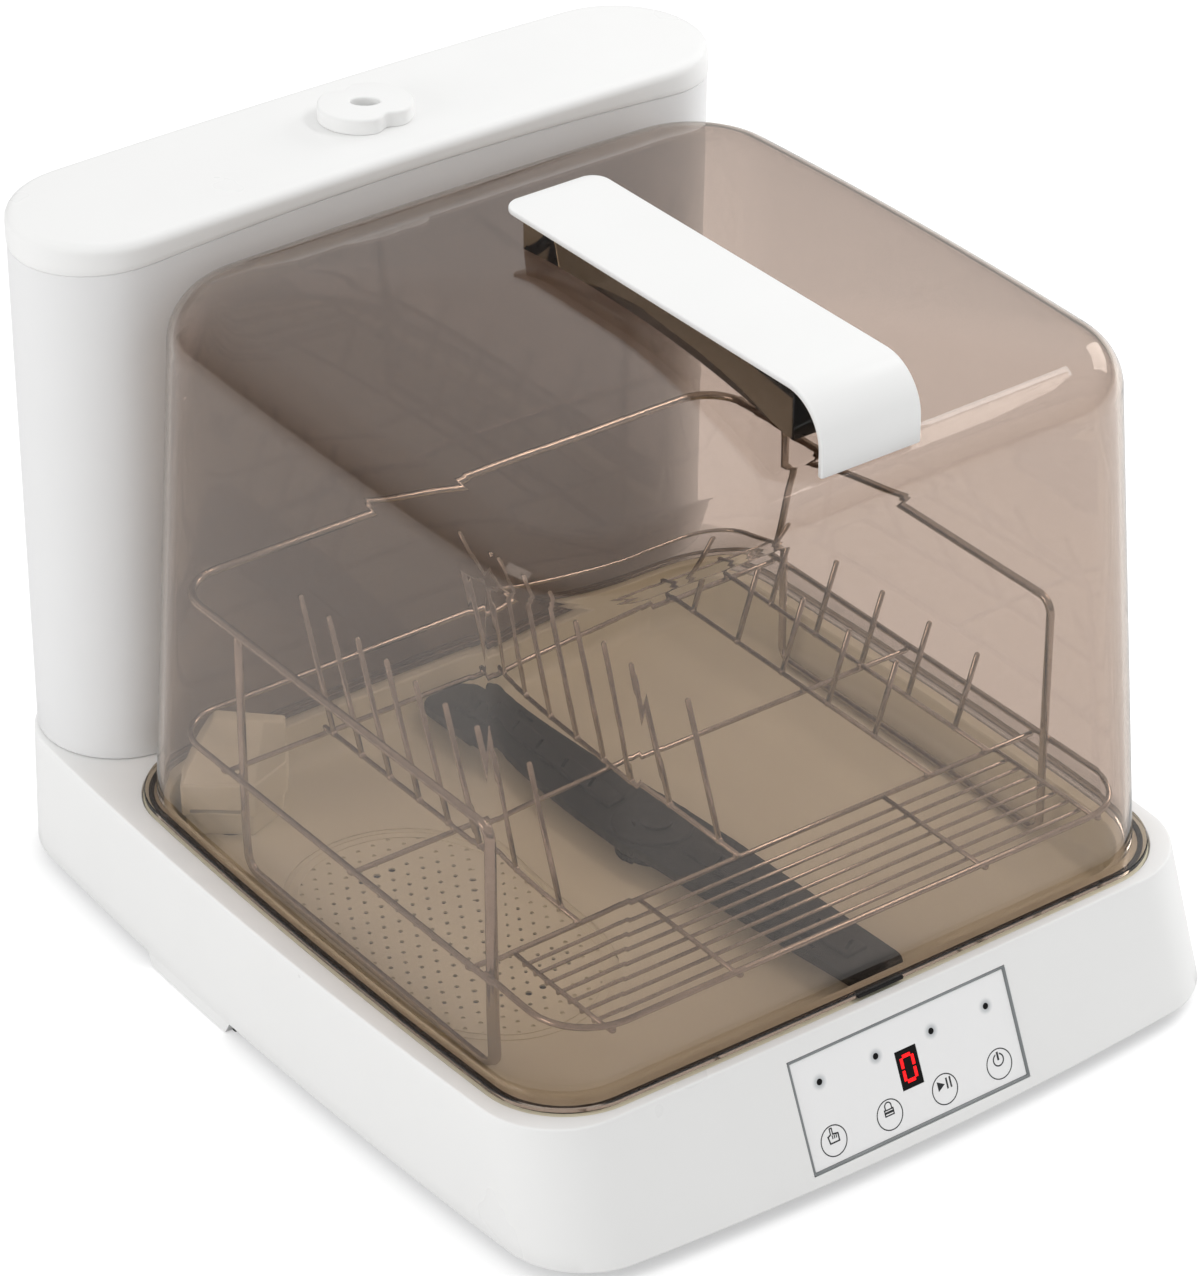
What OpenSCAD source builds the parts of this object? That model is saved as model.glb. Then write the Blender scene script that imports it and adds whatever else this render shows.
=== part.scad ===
// Countertop dishwasher: a low base with a shallow wash tub, a clear tinted lift-off
// cover with a curled handle, a wire rack, a spray arm and a lift-off rear water tank.
// +Z is up, the front faces -Y, X runs from left to right. The origin is on the
// surface the feet stand on, in the middle of the machine.

/* [View] */

// which piece to draw

/* [Base] */

// width between the two front corners
base_w = 400; // [390:1:410]
// front edge at the foot of the base
base_front = -234; // [-238:1:-230]
// rear edge
base_rear = 244.6; // [243:0.2:246]
// deck height above the surface it stands on
deck_z = 74; // [72:1:76]
// how far the front face leans back to the deck
front_lean = 20; // [16:1:22]
// height of the feet
foot_h = 8; // [6:1:10]
// wall of the base shell
shell_t = 3; // [2.5:0.1:3.5]
// outward bow of the front edge at its foot
front_bow = 10.6; // [6:0.1:12]
// outward bow of the sides
side_bow = 9.2; // [5:0.1:10]
// radius of the front corners
front_r = 37; // [34:1:42]
// radius of the rear corners
rear_r = 43; // [40:1:44]

/* [Tub] */

// half of the inside width at the rim
tub_hw = 177; // [175:0.5:178]
// inside of the front wall at the rim
tub_front = -193.5; // [-195:0.5:-192]
// inside of the rear wall at the rim
tub_rear = 142; // [140:0.5:143]
// height of the tub floor
floor_z = 50; // [48:1:52]
// wall of the tub
tub_t = 2.5; // [2:0.1:2.5]

/* [Cover] */

// wall of the clear cover
dome_t = 3; // [2.5:0.1:3]
// half width at the foot of the wall
dome_hw = 184.4; // [184:0.1:185]
// half width where the top rounding starts
dome_top_hw = 172.5; // [171:0.1:174]
// height where the top rounding ends
dome_z = 350; // [348:1:352]
// radius of the top rounding
dome_fillet = 26; // [22:1:28]
// rise of the top over its rounded edge
dome_crown = 17; // [14:1:18]
// points round each ring of the cover
dome_steps = 11; // [8:1:12]

/* [Handle] */

// middle of the handle from left to right
handle_x = 2; // [0:0.5:4]
// width of the strip
handle_w = 56; // [50:1:60]
// thickness of the strip
handle_t = 3; // [2.5:0.1:4]
// top face of the strip
handle_z = 383.5; // [382:0.5:386]
// outer radius of the front curl
handle_r = 25; // [20:1:28]

/* [Rack] */

// middle of the rack from left to right
rack_x = 3; // [1:0.5:4]
// thickness of the leg and rail wire
leg_d = 4.2; // [4:0.1:4.4]
// thickness of the frame loop wire
loop_d = 3.2; // [3:0.1:3.4]
// thickness of the tines
tine_d = 3; // [2.6:0.1:3.2]
// thickness of the grille wires
grille_d = 2; // [1.8:0.1:2.4]
// height of the frame loop
loop_z = 106; // [104:1:108]
// height of the top rails
rail_z = 186; // [182:1:188]
// distance from one tine to the next
tine_pitch = 24.4; // [24:0.1:24.5]

/* [Water tank] */

// half length of the tank
tank_hl = 197.5; // [196:0.5:198]
// end radius at the foot of the tank
tank_r_low = 42.5; // [41:0.5:43]
// end radius under the lid
tank_r_top = 45; // [44:0.5:46]
// height of the joint to the lid at the two ends
seam_z = 344.5; // [343:0.5:346]
// rise of that joint at the middle
seam_rise = 9; // [6:0.5:10]
// top of the lid at the two ends
lid_z = 361; // [359:0.5:363]
// wall of the tank
tank_t = 2.5; // [2:0.1:3]

/* [Control panel] */

// width of the framed panel
panel_w = 130; // [126:1:134]
// height of the framed panel
panel_h = 56; // [54:1:58]
// width of the silver frame
frame_w = 1.4; // [1.2:0.1:2]
// distance between neighbouring buttons
button_pitch = 33.2; // [32:0.1:34]

/* [Fits] */

// gap between pieces that move apart
gap = 0.3; // [0.25:0.05:0.4]
// radial play of the shafts in their bores
run = 0.05; // [0.03:0.01:0.08]

/* [Hidden] */

$fn = 48;
eps = 0.01;

// colours
white = [0.93, 0.93, 0.92];
tub_white = [0.86, 0.86, 0.85];
smoke = [0.42, 0.34, 0.29, 0.45];
dark = [0.13, 0.14, 0.15];
rubber = [0.07, 0.07, 0.07];
steel = [0.72, 0.71, 0.70];
silver = [0.62, 0.65, 0.67];

// rounded outline with bowed sides: half width, front, rear, front and rear corner
// radius, and the bows of front, rear and sides
function arc(cx, cy, r, a, m) = [for (i = [0:m]) [cx + r * cos(a + 90 * i / m),
    cy + r * sin(a + 90 * i / m)]];
function side(p, q, m) = [for (i = [1:m - 1]) p + (q - p) * i / m];
function plain_ring(hw, yf, yr, rf, rb, m, k) = concat(
  arc(-hw + rf, yf + rf, rf, 180, m), side([-hw + rf, yf], [hw - rf, yf], k),
  arc(hw - rf, yf + rf, rf, 270, m), side([hw, yf + rf], [hw, yr - rb], k),
  arc(hw - rb, yr - rb, rb, 0, m), side([hw - rb, yr], [-hw + rb, yr], k),
  arc(-hw + rb, yr - rb, rb, 90, m), side([-hw, yr - rb], [-hw, yf + rf], k));
function ring(hw, yf, yr, rf, rb, bf, br, bs, m = 10, k = 10) =
  [for (p = plain_ring(hw, yf, yr, rf, rb, m, k))
    let (u = p[0] / hw, v = (2 * p[1] - yf - yr) / (yr - yf))
    [p[0] + bs * u * (1 - v * v), p[1] + (v > 0 ? br : bf) * v * (1 - u * u)]];

// outlines of the base at its foot and at its deck, moved in by d
function foot_ring(d) = ring(base_w / 2 - d, base_front + d, base_rear - d, front_r - d, rear_r - d,
    front_bow, 0, side_bow);
function deck_ring(d) = ring(base_w / 2 - 2 - d, base_front + front_lean + d, base_rear - d,
    front_r + 2 - d, rear_r - d, 1.6, 0, side_bow);
// outline of the base wall at height z, moved in by d
function wall_ring(z, d) = let (a = foot_ring(d), b = deck_ring(d), t = (z - foot_h) / (deck_z - foot_h))
  [for (i = [0:len(a) - 1]) a[i] + (b[i] - a[i]) * t];
// outline of the tub opening, moved out by d from the inside of the tub
function tub_ring(d, low = 0) = ring(tub_hw + d - low, tub_front - d + low, tub_rear + d - low, 33 + d,
    33 + d, 1.6, 3, 5.1);
// outline of the cover lip, moved in by d
function lip_ring(d) = ring(189.5 - d, -207.4 + d, 154.2 - d, 41 - d, 41 - d, 1.6, 3, 5.1);

module slice(pts, z) translate([0, 0, z]) linear_extrude(eps) polygon(pts);
module plate(pts, z, h) translate([0, 0, z]) linear_extrude(h) polygon(pts);
module stadium(hx, hy) { // 2D, long along Y
  translate([0, hy - hx]) circle(hx, $fn = 64);
  translate([0, hx - hy]) circle(hx, $fn = 64);
  square([2 * hx, 2 * (hy - hx)], center = true);
}
module tube(r, t, h) difference() { cylinder(r = r, h = h); translate([0, 0, -1])
    cylinder(r = r - t, h = h + 2); }
module bar(w, d, h) translate([-w / 2, -d / 2, 0]) cube([w, d, h]);

// ---- positions shared by several pieces

screw_xy = [[-186, -196], [186, -196], [-188, -30], [188, -30], [-160, 228], [160, 228], [0, 232]];
boss_r = 4.5;
floor_in = foot_h + shell_t;
arm_xy = [10, -24];
arm_r = 164;
sump_xy = [-112, -24];
drain_xy = [40, 45];
spout_x = 52;
spout_z = 35;
inlet_x = -70;
blower_xy = [-132, 196];
tank_y = 202;
dock_x = 120;
panel_tilt = atan((front_lean + front_bow - 1.6) / (deck_z - foot_h));
panel_z = 39.5;
panel_y = base_front - front_bow + (front_lean + front_bow - 1.6) * (panel_z - foot_h) / (deck_z - foot_h)
    + 0.6;

// places its children on the sloping front, X right, Y up the face, Z outwards
module on_panel() translate([3, panel_y, panel_z]) rotate([90 - panel_tilt, 0, 0]) children();

// ---- base

module base_shell() color(white) difference() {
  union() {
    difference() {
      hull() {
        slice(foot_ring(0), foot_h);
        slice(deck_ring(0), deck_z - 1.2);
        slice(deck_ring(1.2), deck_z - eps);
      }
      hull() {
        slice(foot_ring(shell_t), foot_h - 0.1);
        slice(deck_ring(shell_t), deck_z - shell_t - eps);
      }
    }
    // skirts that hide the side feet
    for (s = [-1, 1]) intersection() {
      plate(foot_ring(0.6), 0.6, foot_h + 1);
      translate([s * 209, 0, 0]) rotate([90, 0, 90]) translate([0, 0, -3]) linear_extrude(6)
          polygon([[30, 0], [97, 0], [104, foot_h + 2], [22, foot_h + 2]]);
    }
    // ledge under the tub flange
    difference() {
      plate(lip_ring(-4), deck_z - 6, 5.5);
      plate(tub_ring(3.5), deck_z - 7, 8);
    }
    // thicker wall behind the control panel
    on_panel() translate([-panel_w / 2 - 4, -panel_h / 2 + 2, -6]) cube([panel_w + 8, panel_h - 2, 5]);
    // pocket of the drain spout and pad behind the power inlet
    translate([spout_x, base_rear - 27, spout_z]) rotate([-90, 0, 0]) cylinder(r = 21.5, h = 26);
    translate([inlet_x - 20, base_rear - 7, 21]) cube([40, 6, 32]);
    // screw bosses
    for (p = screw_xy) translate([p[0], p[1], floor_in])
        cylinder(r = boss_r, h = deck_z - shell_t + 0.5 - floor_in);
  }
  // opening for the tub and the recess for its flange and the seal
  plate(tub_ring(3.5), deck_z - 10, 20);
  plate(lip_ring(-1), deck_z - 3, 10);
  // panel pocket and window
  on_panel() translate([-panel_w / 2 - 0.2, -panel_h / 2 - 0.2, -2.2])
      cube([panel_w + 0.4, panel_h + 0.4, 12]);
  on_panel() translate([-56, -20, -12]) cube([112, 40, 20]);
  // pilot holes for the screws
  for (p = screw_xy) translate([p[0], p[1], floor_in - 1]) cylinder(r = 1.5, h = 19);
  // docking hole under the tank
  translate([dock_x, tank_y, deck_z - 6]) cylinder(r = 20.2, h = 10);
  // rear openings for the power inlet and the drain spout
  translate([inlet_x - 14.2, base_rear - 8, 26.8]) cube([28.4, 20, 20.4]);
  translate([inlet_x - 18.2, base_rear - 2.2, 22.8]) cube([36.4, 10, 28.4]);
  translate([spout_x, base_rear - 24.5, spout_z]) rotate([-90, 0, 0]) cylinder(r = 19, h = 40);
  translate([spout_x, base_rear - 30, spout_z]) rotate([-90, 0, 0]) cylinder(r = 8.2, h = 10);
  // rear air slots
  for (i = [0:7]) translate([-170 + i * 9, base_rear - 8, 24]) cube([3.5, 20, 26]);
}

module bottom_plate() color(white) difference() {
  union() {
    plate(wall_ring(foot_h + shell_t, shell_t + 0.4), foot_h, shell_t);
    // posts that hold the pumps and the blower
    translate([arm_xy[0], arm_xy[1], floor_in]) tube(22, 2, 2);
    translate([drain_xy[0], drain_xy[1], floor_in]) tube(14, 2, 3);
    translate([blower_xy[0], blower_xy[1], floor_in]) tube(20, 2, 3);
  }
  for (p = screw_xy) {
    translate([p[0], p[1], foot_h - 1]) cylinder(r = 1.9, h = 10);
    translate([p[0], p[1], foot_h - 1]) cylinder(r = 3.6, h = 2.5);
  }
  // air slots under the blower and the pump motor
  for (p = [[-156, 165], [84, 130]]) for (i = [0:5]) translate([p[0] + i * 9, p[1], foot_h - 1])
      cube([4.5, 52, 10]);
}

module feet() color(rubber) {
  // long side feet near the rear
  for (s = [-1, 1]) translate([s * 197, 0, 0]) rotate([90, 0, 90]) translate([0, 0, -7])
    linear_extrude(14) polygon([[28, 0], [94, 0], [102, foot_h], [22, foot_h]]);
  // round front feet
  for (s = [-1, 1]) translate([s * 150, -185, 0]) {
    cylinder(r1 = 11, r2 = 13, h = 3);
    translate([0, 0, 3]) cylinder(r = 13, h = foot_h - 3);
  }
}

module base_screws() color(steel) for (p = screw_xy) translate([p[0], p[1], foot_h]) difference() {
  union() {
    translate([0, 0, -0.9]) cylinder(r = 3.3, h = 2.4);
    cylinder(r = 1.45, h = 18);
  }
  for (a = [0, 90]) rotate([0, 0, a]) translate([-2, -0.4, -1]) cube([4, 0.8, 1.2]);
}

// ---- tub and what stands in it

module tub() color(tub_white) difference() {
  union() {
    hull() {
      slice(tub_ring(tub_t), deck_z - 1 - eps);
      slice(tub_ring(tub_t, 3), floor_z - tub_t);
    }
    plate(lip_ring(-0.5), deck_z - 3, 2);
    // collars under the floor for the sump and the pump outlet
    translate([sump_xy[0], sump_xy[1], floor_z - 8]) linear_extrude(6) difference()
        { stadium(46, 76); stadium(44, 74); }
  }
  hull() {
    slice(tub_ring(0), deck_z);
    slice(tub_ring(0, 3), floor_z);
  }
  // seat of the filter plate and the way down to the sump
  translate([sump_xy[0], sump_xy[1], floor_z - 1.7]) linear_extrude(5) stadium(60.3, 97.3);
  translate([sump_xy[0], sump_xy[1], floor_z - 10]) linear_extrude(20) stadium(40, 70);
  // pump outlet, drying air inlet
  translate([arm_xy[0], arm_xy[1], floor_z - 10]) cylinder(r = 9.2, h = 20);
  translate([-146, 116, floor_z - 10]) cylinder(r = 10.2, h = 20);
}

module rim_gasket() color(rubber) difference() {
  plate(lip_ring(1.2), deck_z - 1, 1.5);
  plate(lip_ring(4.4), deck_z - 2, 4);
}

module filter_plate() color([0.78, 0.77, 0.75]) translate([sump_xy[0], sump_xy[1], floor_z - 1.65]) {
  linear_extrude(1.1) difference() {
    stadium(60, 97);
    // fine holes in staggered rows
    for (j = [-12:12]) for (i = [-6:6])
      let (x = i * 8.8 + (j % 2 == 0 ? 0 : 4.4), y = j * 7.6)
        if (pow(max(abs(y) - 37, 0), 2) + x * x < 53 * 53)
          translate([x, y])
            circle(abs(j) == 8 && abs(x) < 10 || abs(j) == 2 && abs(x) > 48 ? 1.9 : 1.2, $fn = 16);
  }
  // raised rings
  for (q = [0, 4.5]) translate([0, 0, 1.1]) linear_extrude(0.5) difference() {
    stadium(58 - q, 95 - q);
    stadium(57 - q, 94 - q);
  }
}

module sump() color(tub_white) translate([sump_xy[0], sump_xy[1], 0]) difference() {
  union() {
    translate([0, 0, 15]) linear_extrude(floor_z - 10 - 15) stadium(43, 73);
    translate([0, 0, floor_z - 10]) linear_extrude(7.5) difference()
        { stadium(43.8, 73.8); stadium(41, 71); }
    translate([42, 0, 31]) rotate([0, 90, 0]) cylinder(r = 8, h = 16);
    translate([30, 56, 34]) rotate([0, 90, 0]) cylinder(r = 5.5, h = 22);
    translate([41, 24, 18.5]) rotate([0, 90, 0]) cylinder(r = 5, h = 11);
  }
  translate([0, 0, 17.2]) linear_extrude(40) stadium(40.8, 70.8);
  translate([30, 0, 31]) rotate([0, 90, 0]) cylinder(r = 6, h = 30);
  translate([20, 56, 34]) rotate([0, 90, 0]) cylinder(r = 4, h = 34);
  translate([30, 24, 19.5]) rotate([0, 90, 0]) cylinder(r = 2, h = 26);
  // heater terminals
  for (x = [-14, 14]) translate([x, -60, 24]) rotate([90, 0, 0]) cylinder(r = 3.1, h = 20);
}

module heater() color(steel) translate([sump_xy[0], sump_xy[1], 24]) {
  for (s = [-1, 1]) {
    translate([s * 30, 22, 0]) rotate([90, 0, 0]) cylinder(r = 3, h = 62);
    translate([s * 14, -52, 0]) rotate([90, 0, 0]) cylinder(r = 3, h = 30);
  }
  translate([0, 22, 0]) rotate_extrude(angle = 180) translate([30, 0]) circle(3);
  for (s = [-1, 1]) translate([s * 22, -40, 0]) mirror([s < 0 ? 1 : 0, 0, 0]) {
    rotate([0, 0, 270]) rotate_extrude(angle = 90) translate([8, 0]) circle(3);
    translate([0, -16, 0]) mirror([0, 1, 0]) rotate([0, 0, 180]) rotate_extrude(angle = 90)
        translate([8, 0]) circle(3);
    translate([0, -8, 0]) sphere(3);
  }
}

module air_duct() color(tub_white) intersection() {
  translate([-172, 119, 0]) rotate([0, 0, -36]) difference() {
    union() {
      translate([0, 0, floor_z]) cube([56, 60, 30]);
      translate([0, 60, 0]) rotate([90, 0, 0]) linear_extrude(60)
          polygon([[6, 79], [56, 79], [56, 112], [18, 112]]);
    }
    // sloping front of the upper step
    translate([-5, 0, 80]) rotate([-20, 0, 0]) translate([0, -30, 0]) cube([70, 30, 60]);
    // outlet slot and the hollow behind it
    translate([6, -2, 66]) cube([44, 8, 2.4]);
    translate([3, 4, floor_z - 1]) cube([50, 30, 27]);
  }
  plate(ring(tub_hw - 3.6, tub_front + 3, tub_rear - 3.6, 34, 34, 1.6, 3, 5.1), floor_z, 80);
  translate([-172, 119, 0]) rotate([0, 0, -36]) translate([-5, -5, 0]) cube([70, 33, 200]);
}

// ---- pumps, spray arm and drying air

module wash_pump() color(dark) translate([arm_xy[0], arm_xy[1], 0]) {
  difference() {
    union() {
      translate([0, 0, 24]) cylinder(r = 30, h = 21);
      translate([0, 0, 45]) cylinder(r = 9, h = 4.6);
      translate([0, 0, 13]) cylinder(r = 24, h = 12);
      translate([-46, 0, 31]) rotate([0, 90, 0]) cylinder(r = 8, h = 30);
    }
    translate([0, 0, 26]) cylinder(r = 27, h = 17);
    translate([0, 0, 40]) cylinder(r = 6.5, h = 20);
    translate([0, 0, 15]) cylinder(r = 19, h = 20);
    translate([-50, 0, 31]) rotate([0, 90, 0]) cylinder(r = 6, h = 30);
  }
  translate([0, 0, 14]) cylinder(r = 2.5, h = 25);
}

module wash_rotor() color([0.55, 0.56, 0.58]) translate([arm_xy[0], arm_xy[1], 0]) difference() {
  union() {
    translate([0, 0, 29]) cylinder(r = 24, h = 2);
    for (a = [0:60:300]) rotate([0, 0, a]) translate([6, -1, 30.5]) rotate([0, 0, 20]) cube([17, 2, 8]);
    translate([0, 0, 16]) cylinder(r = 17, h = 13);
    translate([0, 0, 30]) cylinder(r = 6.5, h = 9);
  }
  translate([0, 0, 10]) cylinder(r = 2.5 + run, h = 40);
}

module spray_post() color(dark) translate([arm_xy[0], arm_xy[1], 0]) difference() {
  union() {
    translate([0, 0, floor_z]) cylinder(r = 17, h = 3);
    translate([0, 0, floor_z]) cylinder(r = 12, h = 6);
    translate([0, 0, floor_z]) cylinder(r = 8, h = 17);
    translate([0, 0, floor_z - 0.1]) cylinder(r = 9, h = 2);
  }
  translate([0, 0, floor_z - 1]) cylinder(r = 5.5, h = 14);
  for (a = [0:90:270]) rotate([0, 0, a]) translate([0, 0, floor_z + 11]) rotate([0, 90, 0])
      cylinder(r = 1.8, h = 10);
}

module spray_arm() color(dark) translate([arm_xy[0], arm_xy[1], 0]) rotate([0, 0, 4]) difference() {
  union() {
    translate([0, 0, 57.5]) linear_extrude(6) hull() for (s = [-1, 1]) {
      translate([0, s * (arm_r - 16)]) circle(16);
      translate([0, s * 30]) square([42, 10], center = true);
    }
    translate([0, 0, 56.5]) cylinder(r = 19, h = 9);
    // ribs along the two wings
    for (s = [-1, 1]) translate([0, s * 84, 63.5]) bar(13, 120, 2);
  }
  translate([0, 0, 50]) cylinder(r = 8 + run, h = 30);
  // spray slots
  for (s = [-1, 1]) for (i = [0:4]) rotate([0, 0, s > 0 ? 0 : 180]) translate([0, 46 + i * 23, 62])
      rotate([0, 0, 25]) bar(9, 2, 8);
  for (s = [-1, 1]) rotate([0, 0, s > 0 ? 0 : 180]) translate([12, 120, 62]) bar(2, 14, 8);
}

module drain_pump() color(dark) translate([drain_xy[0], drain_xy[1], 0]) {
  difference() {
    union() {
      translate([0, 0, 27]) cylinder(r = 21, h = 15);
      translate([0, 0, 14]) cylinder(r = 16, h = 14);
      translate([-36, -13, 34]) rotate([0, 90, 0]) cylinder(r = 5.5, h = 30);
      translate([12, 8, 35]) rotate([-90, 0, 0]) cylinder(r = 6, h = 28);
    }
    translate([0, 0, 29]) cylinder(r = 19, h = 11);
    translate([0, 0, 16]) cylinder(r = 12.5, h = 18);
    translate([-40, -13, 34]) rotate([0, 90, 0]) cylinder(r = 4, h = 32);
    translate([12, 8, 35]) rotate([-90, 0, 0]) cylinder(r = 4, h = 32);
  }
  translate([0, 0, 15]) cylinder(r = 1.5, h = 22);
}

module drain_rotor() color([0.55, 0.56, 0.58]) translate([drain_xy[0], drain_xy[1], 0]) difference() {
  union() {
    translate([0, 0, 17]) cylinder(r = 11, h = 13);
    translate([0, 0, 29]) cylinder(r = 4.5, h = 8);
    for (a = [0:90:270]) rotate([0, 0, a]) translate([3, -1, 29.6]) cube([13, 2, 7]);
  }
  translate([0, 0, 10]) cylinder(r = 1.5 + run, h = 40);
}

module blower() color(dark) translate([blower_xy[0], blower_xy[1], 0]) {
  translate([0, 0, 15]) cylinder(r = 2, h = 22);
  difference() {
    union() {
      translate([0, 0, 14]) cylinder(r = 34, h = 30);
      translate([-34, -62, 18]) cube([26, 62, 24]);
      translate([-14, -80, 42]) cylinder(r = 10, h = 7.8);
      translate([-34, -90, 18]) cube([34, 30, 26]);
    }
    translate([0, 0, 16]) cylinder(r = 32, h = 26);
    translate([0, 0, 40]) cylinder(r = 18, h = 10);
    translate([-32, -64, 20]) cube([22, 66, 20]);
    translate([-32, -88, 20]) cube([30, 26, 22]);
    translate([-14, -80, 30]) cylinder(r = 8, h = 30);
  }
}

module blower_wheel() color([0.30, 0.31, 0.33]) translate([blower_xy[0], blower_xy[1], 0]) difference() {
  union() {
    translate([0, 0, 17]) cylinder(r = 29, h = 1.6);
    translate([0, 0, 17]) cylinder(r = 9, h = 19);
    for (a = [0:20:340]) rotate([0, 0, a]) translate([22, -0.7, 18]) rotate([0, 0, -25])
        cube([6.5, 1.4, 18.5]);
    translate([0, 0, 35.5]) tube(29, 2.5, 2);
  }
  translate([0, 0, 10]) cylinder(r = 2 + run, h = 40);
}

// a straight hose over a spigot of radius r, along Z
hose_t = 2;
module sleeve(r, h) difference() { cylinder(r = r + hose_t, h = h); translate([0, 0, -1])
    cylinder(r = r + 0.1, h = h + 2); }
module hose_ring(r) difference() { circle(r + hose_t); circle(r + 0.1); }

module hoses() color(rubber) {
  // sump to wash pump
  translate([-62, arm_xy[1], 31]) rotate([0, 90, 0]) sleeve(8, 34);
  // sump to drain pump
  translate([-69, sump_xy[1] + 56, 34]) rotate([0, 90, 0]) sleeve(5.5, 83);
  // drain pump to the spout
  translate([spout_x, 70, spout_z]) rotate([-90, 0, 0]) sleeve(6, base_rear - 32 - 70);
  // docking socket to the sump: down, along the rear, forward and in
  translate([dock_x, tank_y, 32.5]) sleeve(5, 17);
  translate([dock_x - 14, tank_y, 32.5]) rotate([90, 0, 0]) rotate([0, 0, 270]) rotate_extrude(angle = 90)
      translate([14, 0]) hose_ring(5);
  translate([-20, tank_y, 18.5]) rotate([0, 90, 0]) sleeve(5, dock_x - 14 + 20);
  translate([-20, tank_y - 20, 18.5]) rotate([0, 0, 90]) rotate_extrude(angle = 90) translate([20, 0])
      hose_ring(5);
  translate([-40, 20, 18.5]) rotate([-90, 0, 0]) sleeve(5, tank_y - 40);
  translate([-60, 20, 18.5]) rotate([0, 0, 270]) rotate_extrude(angle = 90) translate([20, 0]) hose_ring(5);
  translate([-68, 0, 18.5]) rotate([0, 90, 0]) sleeve(5, 8);
}

// ---- control panel and electrics

module control_board() color([0.10, 0.33, 0.20]) on_panel() {
  translate([-58, -21, -9.6]) cube([116, 42, 1.6]);
  for (x = [-40, -24, 22, 38]) translate([x, 8, -12]) cube([9, 7, 2.5]);
  for (s = [-1, 1]) for (t = [-1, 1]) translate([s * 54, t * 17, -8.1]) cylinder(r = 2.5, h = 2.05);
}

module panel_frame() color(silver) on_panel() translate([0, 0, -2.2]) difference() {
  bar(panel_w, panel_h, 2.3);
  translate([0, 0, -1]) bar(panel_w - 2 * frame_w, panel_h - 2 * frame_w, 5);
}

module panel_face() color([0.88, 0.88, 0.88]) on_panel() translate([0, 0, -2.2]) difference() {
  bar(panel_w - 2 * frame_w - 0.2, panel_h - 2 * frame_w - 0.2, 1.8);
  translate([0, 1.1, -1]) bar(12.8, 19.4, 5);
  for (i = [-1.5:1:1.5]) translate([i * button_pitch, 13, -1]) cylinder(r = 1.55, h = 5, $fn = 24);
}

// the six lit bars of a nought, grown by g
module digit(h, g = 0) for (b = [[0, 1, 0], [0, -1, 0], [-1, 0.5, 90], [1, 0.5, 90], [-1, -0.5, 90],
    [1, -0.5, 90]])
  translate([b[0] * 3.5, b[1] * 6.6, 0]) rotate([0, 0, b[2]]) bar(5.2 + 2 * g, 1.5 + 2 * g, h);

module display() color([0.03, 0.03, 0.03]) on_panel() translate([0, 1.1, -8]) difference() {
  bar(12.5, 19.1, 7.6);
  translate([0, 0, 6.6]) digit(2, 0.05);
}

module display_bars() color([0.9, 0.05, 0.06]) on_panel() translate([0, 1.1, -1.4]) digit(0.95);

module indicator_dots() color([0.05, 0.05, 0.05]) on_panel()
  for (i = [-1.5:1:1.5]) translate([i * button_pitch, 13, -8]) cylinder(r = 1.5, h = 7.7, $fn = 24);

module touch_marks() color([0.22, 0.23, 0.24]) on_panel() for (i = [-1.5:1:1.5])
    translate([i * button_pitch, -16, -0.4]) {
  tube(7.6, 0.45, 0.12);
  if (i == -1.5) { tube(2.6, 0.7, 0.12); translate([0, 3.8, 0]) bar(0.8, 2.2, 0.12); } // select
  // lock
  if (i == -0.5) { translate([0, -1.2, 0]) bar(4.6, 3.8, 0.12); translate([0, 1.7, 0])
      tube(1.9, 0.6, 0.12); }
  // start and pause
  if (i == 0.5) { linear_extrude(0.12) polygon([[-3.2, -2.4], [-3.2, 2.4], [0.8, 0]]);
      for (x = [1.9, 3.5]) translate([x, 0, 0]) bar(0.8, 4.6, 0.12); }
  // power
  if (i == 1.5) { difference() { tube(3.4, 0.6, 0.12); translate([0, 3.4, -1]) bar(2.4, 2.6, 3);
      } translate([0, 2.6, 0]) bar(0.7, 3.6, 0.12); }
}

module power_board() color([0.10, 0.33, 0.20]) translate([84, 40, 0]) {
  translate([0, 0, 18]) cube([70, 50, 1.6]);
  for (p = [[6, 6, 14, 14], [26, 8, 20, 16], [54, 10, 10, 12]]) translate([p[0], p[1], 19.5])
      cube([p[2], 16, p[3]]);
  for (x = [10, 30, 50]) translate([x, 38, 19.5]) cylinder(r = 6, h = 14);
  for (x = [4, 66]) for (y = [4, 46]) translate([x, y, floor_in]) cylinder(r = 2.5, h = 7.05);
}

module reed_switch() color(dark) {
  translate([-8, -207, deck_z - 16]) cube([16, 4, 10]);
  translate([-5, -203.2, deck_z - 13]) cube([10, 1.6, 4]);
}

module power_inlet() color(dark) difference() {
  union() {
    translate([inlet_x - 14, base_rear - 24, 27]) cube([28, 22, 20]);
    translate([inlet_x - 18, base_rear - 2.2, 23]) cube([36, 2.2, 28]);
  }
  difference() {
    translate([inlet_x - 11, base_rear - 18, 30]) cube([22, 30, 14]);
    for (s = [-1, 1]) translate([inlet_x + s * 5 - 0.6, base_rear - 19, 34.5]) cube([1.2, 12, 5]);
  }
  for (s = [-1, 1]) translate([inlet_x + s * 16, base_rear - 3, 37]) rotate([-90, 0, 0])
      cylinder(r = 1.2, h = 6, $fn = 24);
}

module drain_spout() color([0.45, 0.46, 0.48]) translate([spout_x, base_rear - 24.5, spout_z])
    rotate([-90, 0, 0]) difference() {
  union() {
    translate([0, 0, -26]) cylinder(r = 6, h = 20);
    translate([0, 0, -7]) cylinder(r = 8, h = 7);
    cylinder(r = 12, h = 2.5);
    cylinder(r = 8, h = 23);
  }
  translate([0, 0, -30]) cylinder(r = 4.5, h = 60);
}

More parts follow.
